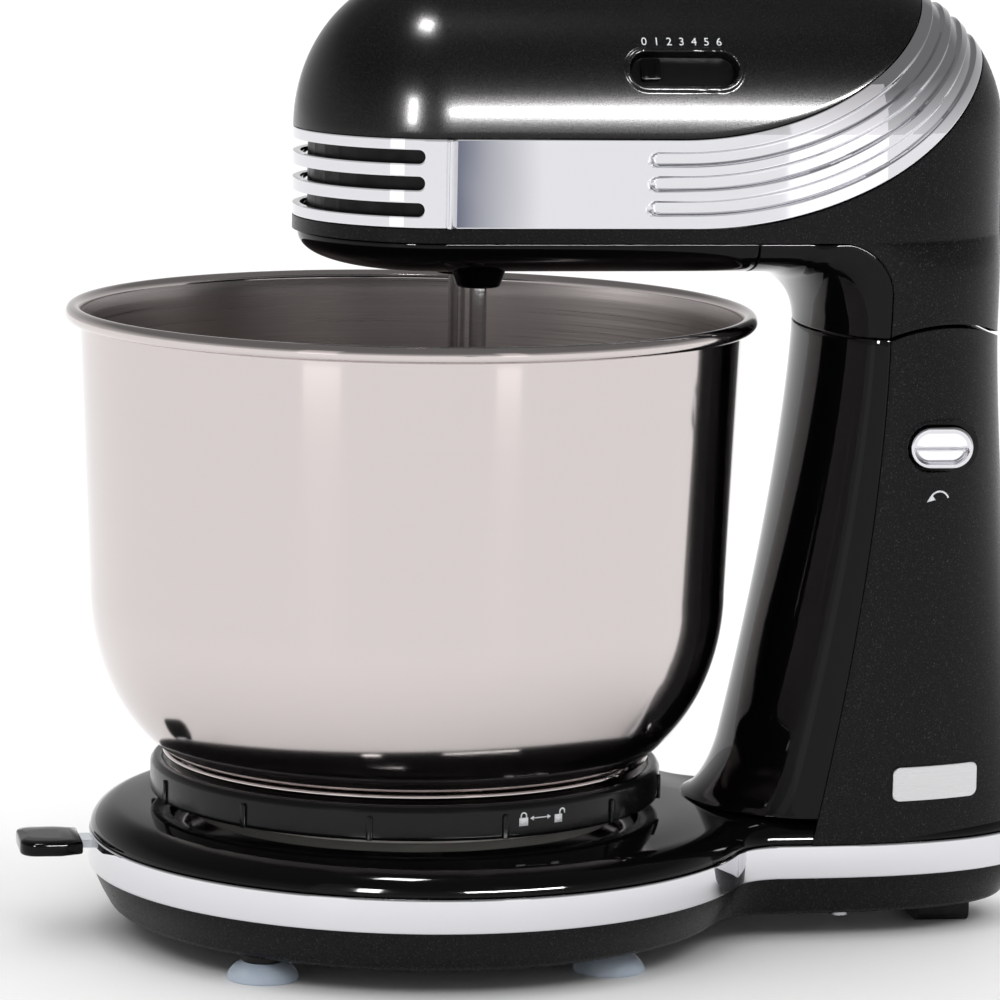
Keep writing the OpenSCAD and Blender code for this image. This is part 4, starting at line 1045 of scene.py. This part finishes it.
sheet("bowl_foot_skin", bowl_ring(), "bowl", "bowl_steel", ["bowl_foot"], inside=axis_core, wrap=(False, True),
      wall=0.8, bevel=0, angle=50, look="bowl_outside")


COLLAR_R = COLLAR[1][0] - 0.8      # without its ribs


def collar():
    """Stepped collar of the turntable."""
    r = COLLAR_R
    low, high = COLLAR[0][2], COLLAR[1][2]
    profile = rounded([(r - 6, low + 0.6), (r - 1.0, low), (r, low + 0.8), (r, high - 1.6), (r - 1.2, high),
                       (r - 3.2, high), (r - 3.8, high - 1.4), (r - 6.0, high - 2.0), (r - 8, high - 5)],
                      0.7, 3)
    sheet("collar_skin", revolve(profile, 256), "turntable", "collar_black", ["turntable_collar"],
          inside=axis_core, wrap=(False, True), wall=0.8, bevel=0, angle=50)


collar()


def collar_rib(i):
    """One raised rib on the collar, with a rounded top."""
    a0 = math.radians(360 * (i + 0.45) / RIBS)
    low, high = COLLAR[0][2] + 0.3, COLLAR[0][2] + (COLLAR[1][2] - COLLAR[0][2]) * 0.72
    outline = [(-0.95, low), (0.95, low)] + [(0.95 * math.cos(t), high - 0.95 + 0.95 * math.sin(t))
                                             for t in np.linspace(0, math.pi, 9)]

    def to_space(s, z, h):
        r = COLLAR_R + h
        return (r * math.cos(a0) - s * math.sin(a0), r * math.sin(a0) + s * math.cos(a0), z)
    solid_of(f"collar_rib_{i + 1}", outline, -0.5, 0.75, to_space, "turntable", "collar_black", bevel=0.25)


for i in range(RIBS):
    collar_rib(i)


# ---------------------------------------------------------------- feet, lever, controls
def feet():
    """Four silicone suction cups, each on a short black stem."""
    r = 10.5
    profile = rounded([(0.01, 2.6), (3, 2.4), (7.8, 1.1), (9.4, 0.02), (r, 0.0), (r, 0.7), (9.9, 2.2),
                       (8.4, 3.9), (6.4, 5.1), (5.2, 5.6), (5.0, FOOT_H + 0.5)], 0.8, 5)
    at = (FEET[1][0] - r, FEET[1][1] - r)
    for n, (sx, sy) in enumerate([(1, 1), (1, -1), (-1, 1), (-1, -1)]):
        grid = revolve(profile, 72, (sx * at[0], sy * at[1]))
        sheet(f"suction_foot_{n + 1}", grid, "base", "foot_silicone", ["suction_feet"] if n == 0 else (),
              inside=(sx * at[0], sy * at[1], 3), wrap=(False, True), wall=0, bevel=0, angle=60)
        stem = revolve(rounded([(5.6, FOOT_H - 2.0), (6.2, FOOT_H - 1.6), (6.2, FOOT_H + 0.8)], 0.3, 3), 48,
                       (sx * at[0], sy * at[1]))
        sheet(f"foot_stem_{n + 1}", stem, "base", "matte_black", (),
              inside=(sx * at[0], sy * at[1], 6), wrap=(False, True), wall=2.0, bevel=0.2)


feet()

def paddle():
    """Flat paddle with a round front and a domed top."""
    x1, y0, y1 = PADDLE[1][0], PADDLE[0][1], PADDLE[1][1]
    z0, z1 = PADDLE[0][2], PADDLE[1][2]
    r = 5.5
    half = [(x1 - 2.6, y1), (x1, y1 - 6)]
    half += [(x1 - r + r * math.cos(t), y0 + 0.9 * r * (1 + math.sin(t)))
             for t in np.linspace(0, -math.pi / 2, 14)]
    outline = np.array(half + [(-x, y) for x, y in half[::-1]])
    centre = outline.mean(0)
    grid = []
    for inset, z in ((0.9, z0), (0.25, z0 + 0.3), (0, z0 + 0.9), (0, z1 - 1.3), (0.2, z1 - 0.7),
                     (0.9, z1 - 0.35), (3.5, z1 - 0.1), (7.5, z1)):
        away = outline - centre
        length = np.linalg.norm(away, axis=1, keepdims=True)
        p = centre + away * (1 - inset / np.maximum(length, inset + 0.5))
        grid.append(np.concatenate([p, np.full((len(p), 1), z)], 1))
    grid = np.stack(grid)
    rows, cols = grid.shape[:2]
    faces = [tuple(f) for f in outward(grid, cells(rows, cols, False, True), (0, centre[1], (z0 + z1) / 2))]
    faces += [tuple(range(cols)), tuple(range((rows - 1) * cols, rows * cols))]
    make("lever_paddle_skin", grid.reshape(-1, 3), faces, "press_lever", "gloss_black", ["lever_paddle"],
         angle=60)


paddle()


def on_dome(along, up, out):
    """A point on the dome's side by the slider: along the head, up the side and out from it."""
    t = SLIDER_TILT + up / math.hypot(HEAD_W * math.sin(SLIDER_TILT), DOME_H * math.cos(SLIDER_TILT))
    n = np.array([math.cos(t) / HEAD_W, 0, math.sin(t) / DOME_H])
    return on_section(t, SLIDER_Y + along) + n / np.linalg.norm(n) * out


def on_slider(along, up, out):
    """A point on the flat of the slider's well."""
    n = np.cross(SLIDER_UP, (0, 1, 0))
    n = n if n[0] > 0 else -n
    return SLIDER_AT + np.array([0, along, 0]) + SLIDER_UP * up + n * out


solid_of("slider_track", pill_outline(SLIDER_W - 1.2, SLIDER_H - 1.2, 14), -3.6, -2.6, on_slider, "head",
         "matte_black", ["slider_bezel"], 0.3)
KNOB_AT, KNOB_W, KNOB_H = -(SLIDER_W - 12) / 2, 2.9, 3.4       # its middle and its half sizes
knob_outline = rounded([(KNOB_AT, -KNOB_H), (KNOB_AT + KNOB_W, -KNOB_H), (KNOB_AT + KNOB_W, KNOB_H),
                        (KNOB_AT - KNOB_W, KNOB_H), (KNOB_AT - KNOB_W, -KNOB_H), (KNOB_AT, -KNOB_H)],
                       1.0, 4)[:-1]
solid_of("speed_knob_skin", knob_outline, -2.5, 0.2, on_slider, "speed_slider", "gloss_black",
         ["speed_knob"], 0.35)
for k, at in enumerate((-1.6, 1.6)):
    ridge = box_shape(KNOB_AT + at - 0.45, -3.0, KNOB_AT + at + 0.45, 3.0)
    solid_of(f"speed_knob_ridge_{k + 1}", ridge, 0.1, 0.75, on_slider, "speed_slider", "gloss_black", (), 0.2)


def button():
    """Chrome pill with a dished lower half and a raised edge."""
    face = box_mm("tilt_button")[1][0]
    rings, cols = 20, 72
    outline = np.array(pill_outline(BUTTON_W, BUTTON_H, cols // 2))
    spine = np.stack([np.clip(outline[:, 0], -(BUTTON_W - BUTTON_H) / 2, (BUTTON_W - BUTTON_H) / 2),
                      0 * outline[:, 1]], 1)
    grid = [np.stack([np.full(cols, face - 8), BUTTON[1] + outline[:, 0], BUTTON[2] + outline[:, 1]], 1)]
    for t in np.linspace(0, math.pi / 2, 7):
        k = 1 - 0.9 * (1 - math.cos(t)) / (BUTTON_H / 2)
        p = spine + (outline - spine) * k
        grid.append(np.stack([np.full(cols, face - 1.0 + 0.9 * math.sin(t)), BUTTON[1] + p[:, 0],
                              BUTTON[2] + p[:, 1]], 1))
    for k in np.linspace(0.82, 0.0, rings):
        p = spine + (outline - spine) * k
        x = face - 0.1 - 0.25 * smooth((0.82 - k) / 0.1)
        dish = 1.5 * smooth((0.3 - p[:, 1]) / 1.2) * smooth((k < 0.80) * (0.84 - k) / 0.22)
        grid.append(np.stack([x - dish + 0 * p[:, 0], BUTTON[1] + p[:, 0], BUTTON[2] + p[:, 1]], 1))
    grid = np.stack(grid)
    return sheet("tilt_button_skin", grid, "tilt_release", "chrome", ["tilt_button"],
                 inside=(face - 4, BUTTON[1], BUTTON[2]), wrap=(False, True), wall=0, bevel=0, angle=50)


button()


# ---------------------------------------------------------------- printed marks
def ink(name, verts, faces, body, weld=0.004):
    """Printed faces with the thickness of ink."""
    piece = make(name, np.array(verts), faces, body, MARK_SLOT[body], weld=weld, look="white_print")
    thick = piece.modifiers.new("ink", "SOLIDIFY")
    thick.thickness = INK_WALL * MM
    thick.offset = 0


def mark(name, shapes, to_space, body):
    """Thin printed shapes. Each is a closed outline, or (outline, hole) with equally many points."""
    verts, faces = [], []
    for shape in shapes:
        b = len(verts)
        if isinstance(shape, tuple):
            outer, hole = shape
            n = len(outer)
            verts += [to_space(*p, INK_H) for p in outer] + [to_space(*p, INK_H) for p in hole]
            faces += [(b + i, b + (i + 1) % n, b + n + (i + 1) % n, b + n + i) for i in range(n)]
        else:
            verts += [to_space(*p, INK_H) for p in shape]
            faces.append(tuple(range(b, b + len(shape))))
    ink(name, verts, faces, body)


def arc_band(cx, cy, r, wide, start, stop, n=14):
    """A bent bar, as one closed outline."""
    a = [math.radians(lerp(start, stop, k / n)) for k in range(n + 1)]
    return [(cx + (r + wide / 2) * math.cos(t), cy + (r + wide / 2) * math.sin(t)) for t in a] + \
           [(cx + (r - wide / 2) * math.cos(t), cy + (r - wide / 2) * math.sin(t)) for t in a[::-1]]


def on_collar(s, z, out):
    """A point on the collar: s millimetres round it from the middle of the marks."""
    a = math.atan2(MARK_Y, math.sqrt(COLLAR_R ** 2 - MARK_Y ** 2)) + s / COLLAR_R
    return ((COLLAR_R + out) * math.cos(a), (COLLAR_R + out) * math.sin(a), MARK_Z + z)


mark("lock_marks", [
    box_shape(-7.4, -2.1, -4.5, 0.3), arc_band(-5.95, 0.9, 0.85, 0.45, 0, 180),
    box_shape(-7.025, 0.3, -6.575, 0.95), box_shape(-5.325, 0.3, -4.875, 0.95),
    box_shape(-2.9, -0.22, 2.3, 0.12), [(-3.9, -0.05), (-2.6, -0.75), (-2.6, 0.65)],
    [(3.3, -0.05), (2.0, 0.65), (2.0, -0.75)], box_shape(4.6, -2.1, 7.3, 0.3),
    arc_band(7.3, 1.0, 0.85, 0.45, 0, 180), box_shape(6.225, 0.3, 6.675, 1.05),
    box_shape(7.925, 0.45, 8.375, 1.05)], on_collar, "turntable")


def on_column(along, up, out):
    """A point on the column's right-hand side, by the tilt button."""
    z = np.array(BUTTON[2] + up)
    w, c, r = float(half_w(z)), float(edge_y(z)), float(rear_y(z))
    s = np.clip((BUTTON[1] + along - c) / (r - c), 0, 1)
    x = w * (1 - s ** 2.2) ** (1 / 2.2)
    return (x + out, BUTTON[1] + along, BUTTON[2] + up)


mark("tilt_marks", [arc_band(0, -16.4, 3.2, 0.55, 20, 150), [(-4.1, -16.3), (-2.6, -14.0), (-1.2, -15.7)]],
     on_column, "base")


def badge():
    """Plain satin plate that follows the column's side."""
    low, high = box_mm("badge_plate")
    mid_y, mid_z = (low[1] + high[1]) / 2 - BUTTON[1], (low[2] + high[2]) / 2 - BUTTON[2]
    w, h, r = (high[1] - low[1]) / 2, (high[2] - low[2]) / 2, 2.2
    corners = [(w - r, h - r, 0), (r - w, h - r, 90), (r - w, r - h, 180), (w - r, r - h, 270)]

    def on_corner(cx, cy, degrees):
        return cx + r * math.cos(math.radians(degrees)), cy + r * math.sin(math.radians(degrees))
    outline = []
    for k, (cx, cy, start) in enumerate(corners):
        outline += [on_corner(cx, cy, start + 15 * i) for i in range(7)]
        end, (nx, ny, _) = outline[-1], corners[(k + 1) % 4]
        begin = on_corner(nx, ny, start + 90)
        outline += [(lerp(end[0], begin[0], t), lerp(end[1], begin[1], t)) for t in np.linspace(0, 1, 12)[1:-1]]
    rings = [(1, 0.0), (1, 0.55), (0.985, 0.75)] + [(k, 0.8) for k in np.linspace(0.96, 0.0, 12)]
    grid = np.array([[on_column(mid_y + a * k, mid_z + b * k, out) for a, b in outline] for k, out in rings])
    sheet("badge_skin", grid, "base", "badge_metal", ["badge_plate"], inside=column_core,
          wrap=(False, True), wall=0, bevel=0, angle=40)


badge()


def sockets():
    """Tapered collars that the beaters plug into."""
    low, high = box_mm("beater_sockets")
    x = (high[0] - low[0]) / 2 - (high[1] - low[1]) / 2
    y = (low[1] + high[1]) / 2
    for n, side in enumerate((-1, 1)):
        profile = rounded([(3.2, low[2] + 1.6), (3.4, low[2]), (6.2, low[2]), (7.4, low[2] + 3.4),
                           (9.6, low[2] + 9.5), (9.8, BELLY_Z + 9)], [0, 0.3, 0.9, 0.8, 1.0, 0], 5)
        sheet(f"beater_socket_{n + 1}", revolve(profile, 72, (side * x, y)), "head", "matte_black",
              ["beater_sockets"] if n == 0 else (), inside=upright(side * x, y, 1), wrap=(False, True), wall=0,
              bevel=0, angle=40, look="gloss_black")


sockets()


def digits():
    """Numbers 0 to 6 along the slider."""
    for n in range(7):
        text = bpy.data.curves.new(f"digit_{n}_text", "FONT")
        text.body = str(n)
        text.size = 4.4
        text.align_x = "CENTER"
        text.resolution_u = 4
        holder = bpy.data.objects.new(f"digit_{n}_text", text)
        bpy.context.scene.collection.objects.link(holder)
        bpy.context.view_layer.update()
        flat = bpy.data.meshes.new_from_object(holder.evaluated_get(bpy.context.evaluated_depsgraph_get()))
        verts = [on_dome(DIGIT_START + DIGIT_STEP * n + v.co.x * 0.8, DIGIT_UP + v.co.y * 0.86, INK_H)
                 for v in flat.vertices]
        faces = [tuple(p.vertices) for p in flat.polygons]
        bpy.data.objects.remove(holder)
        bpy.data.meshes.remove(flat)
        bpy.data.curves.remove(text)
        ink(f"digit_{n}", verts, faces, "head", weld=0.001)


digits()

# ---------------------------------------------------------------- CAD nodes that show as they are
for name, obj in frame["nodes"].items():
    slot = next(s["material_slot"] for s in frame["record"]["subparts"] if s["node"] == name)
    look = LOOK["bowl_outside"] if slot == "bowl_steel" else LOOK[slot]
    obj.data.materials.clear()
    obj.data.materials.append(look)
    if not obj.hide_render:
        edge = obj.modifiers.new("edge", "BEVEL")
        edge.width = 0.15 * MM
        edge.segments = 2
        edge.limit_method = "ANGLE"
        edge.angle_limit = math.radians(40)

# ---------------------------------------------------------------- camera, floor and light
AZIMUTH, ELEVATION, ROLL = 79.98, 8.6, 1.05
DISTANCE, LENS, SENSOR = 1600.0, 192.5, 36.0
AIM = (27.2, 130.0)        # to the right of the bowl's axis, and up


def camera():
    """Camera at its distance from a point beside the bowl's axis, in millimetres like everything above."""
    a, e, r = (math.radians(v) for v in (AZIMUTH, ELEVATION, ROLL))
    back = Vector((math.sin(a) * math.cos(e), -math.cos(a) * math.cos(e), math.sin(e)))
    right = Vector((math.cos(a), math.sin(a), 0))
    up = back.cross(right)
    turned_right = right * math.cos(r) + up * math.sin(r)
    turned_up = up * math.cos(r) - right * math.sin(r)
    at = Vector((0, 0, AIM[1])) + right * AIM[0] + back * DISTANCE
    data = bpy.data.cameras.new("camera")
    data.lens, data.sensor_width = LENS, SENSOR
    data.clip_start, data.clip_end = 0.05, 100
    cam = bpy.data.objects.new("camera", data)
    bpy.context.scene.collection.objects.link(cam)
    turn = Matrix((turned_right, turned_up, back)).transposed().to_4x4()
    cam.matrix_world = Matrix.Translation(Vector(place(at)[0])) @ turn
    bpy.context.scene.camera = cam


camera()


def floor():
    """Pale round floor, in metres."""
    mesh = bpy.data.meshes.new("floor")
    n, r = 96, 14.0
    turns = [2 * math.pi * i / n for i in range(n)]
    mesh.from_pydata([(r * math.cos(t), r * math.sin(t), 0) for t in turns], [], [tuple(range(n))])
    obj = bpy.data.objects.new("floor", mesh)
    bpy.context.scene.collection.objects.link(obj)
    obj.data.materials.append(new_look("floor", (0.93, 0.93, 0.93), 0.55, specular=0.1)[0])


floor()


def softbox(name, at, aim, size, power, color=(1, 1, 1)):
    """Area light at a place in metres, turned to another."""
    data = bpy.data.lights.new(name, "AREA")
    data.shape = "RECTANGLE"
    data.size, data.size_y = size
    data.energy, data.color = power, color
    obj = bpy.data.objects.new(name, data)
    bpy.context.scene.collection.objects.link(obj)
    obj.location = at
    obj.rotation_mode = "QUATERNION"
    obj.rotation_quaternion = (Vector(aim) - Vector(at)).to_track_quat("-Z", "Y")
    obj.visible_diffuse = False
    obj.visible_camera = False
    return obj


def soft_sun():
    """Even light on the floor, which the gloss does not show."""
    data = bpy.data.lights.new("soft_sun", "SUN")
    data.energy, data.angle = 3.1, math.radians(110)
    obj = bpy.data.objects.new("soft_sun", data)
    bpy.context.scene.collection.objects.link(obj)
    obj.visible_glossy = False


def only_on(light, looks):
    """Light that only the pieces of some looks receive, so that the chrome and steel don't burn out."""
    group = bpy.data.collections.new(light.name + "_on")
    for obj in bpy.data.objects:
        if obj.type == "MESH" and obj.material_slots and obj.material_slots[0].material in looks:
            group.objects.link(obj)
    light.light_linking.receiver_collection = group


def card(name, y, z, color, beyond=0.45):
    """Card that only reflections show: the side of the band mirrors it between two y and two z."""
    eye = bpy.context.scene.camera.matrix_world.translation
    spots = [Vector(p) for p in place([(HEAD_W - 2, y[a], z[b]) for a, b in ((0, 0), (1, 0), (1, 1), (0, 1))])]
    mirrored = Vector((2 * spots[0].x - eye.x, eye.y, eye.z))
    corners = [mirrored + (spot - mirrored) * (1 + beyond) for spot in spots]
    mesh = bpy.data.meshes.new(name)
    mesh.from_pydata([tuple(c) for c in corners], [], [(0, 1, 2, 3)])
    obj = bpy.data.objects.new(name, mesh)
    bpy.context.scene.collection.objects.link(obj)
    look = bpy.data.materials.new(name)
    look.use_nodes = True
    tree = look.node_tree
    tree.nodes.clear()
    out = node(tree, "ShaderNodeOutputMaterial")
    clear = node(tree, "ShaderNodeBsdfTransparent")
    glow = node(tree, "ShaderNodeEmission", Color=(*color, 1), Strength=1.0)
    way = node(tree, "ShaderNodeTexCoord")
    split = node(tree, "ShaderNodeSeparateXYZ")
    tree.links.new(way.outputs["Generated"], split.inputs[0])
    fade = ramp(tree, split.outputs["Y"], [(0.0, 0.98), (0.35, 0.98), (0.65, 0.5), (1.0, 0.0)])
    mix = node(tree, "ShaderNodeMixShader")
    tree.links.new(fade, mix.inputs[0])
    tree.links.new(clear.outputs[0], mix.inputs[1])
    tree.links.new(glow.outputs[0], mix.inputs[2])
    tree.links.new(mix.outputs[0], out.inputs["Surface"])
    mesh.materials.append(look)
    obj.visible_camera = obj.visible_diffuse = obj.visible_shadow = False


card("blue_card", (CREASE_Y - 18.25, CREASE_Y + 27.75), (SHELL_Z - 6, SHELL_Z + 40), (0.025, 0.045, 0.13))
soft_sun()
gloss = [LOOK["gloss_black"], LOOK["gloss_flake"]]
only_on(softbox("dome_stripe", (1.68, 0.72, 0.68), (0, 0.05, 0.25), (1.15, 0.2), 170), gloss)
only_on(softbox("nose_light", (1.45, -0.74, 0.62), (0, 0, 0.25), (0.22, 0.5), 48), gloss)
only_on(softbox("nose_top", (0.3, -0.2, 1.9), (0, 0, 0.25), (0.3, 0.3), 28), gloss)
only_on(softbox("inside_light", (-0.3, -1.3, 1.3), (0, AXIS_Y, 0.15), (0.6, 0.5), 16), [LOOK["bowl_inside"]])
GLOW_H, GLOW_Z, GLOW_AWAY = 1.2, 0.19, 0.9       # of the two tall lights that streak the bowl, in metres
for side, (turn, width) in enumerate(((-38, 0.2), (23, 0.13))):
    aim = Vector((0, AXIS_Y, GLOW_Z))
    way = Vector((math.cos(math.radians(turn)), math.sin(math.radians(turn)), 0))
    softbox(f"bowl_glow_{side + 1}", aim + way * GLOW_AWAY, aim, (width, GLOW_H),
            0.4 * math.pi * width * GLOW_H, (1.0, 0.95, 0.95))


def sky():
    """White studio as the camera sees it, and paler at the horizon than above in what the mixer reflects."""
    world = bpy.data.worlds.new("studio")
    bpy.context.scene.world = world
    world.use_nodes = True
    tree = world.node_tree
    tree.nodes.clear()
    out = node(tree, "ShaderNodeOutputWorld")
    pale = node(tree, "ShaderNodeBackground", Color=(1, 1, 1, 1), Strength=1.05)
    dim = node(tree, "ShaderNodeBackground", Strength=0.9)
    way = node(tree, "ShaderNodeTexCoord")
    split = node(tree, "ShaderNodeSeparateXYZ")
    tree.links.new(way.outputs["Generated"], split.inputs[0])
    tone = ramp(tree, split.outputs["Z"], [(0.0, 0.85), (0.2, 0.6), (0.5, 0.22), (1.0, 0.2)])
    tree.links.new(tone, dim.inputs["Color"])
    path = node(tree, "ShaderNodeLightPath")
    mix = node(tree, "ShaderNodeMixShader")
    tree.links.new(path.outputs["Is Camera Ray"], mix.inputs[0])
    tree.links.new(dim.outputs[0], mix.inputs[1])
    tree.links.new(pale.outputs[0], mix.inputs[2])
    tree.links.new(mix.outputs[0], out.inputs["Surface"])


sky()
bpy.context.scene.view_settings.view_transform = "Standard"
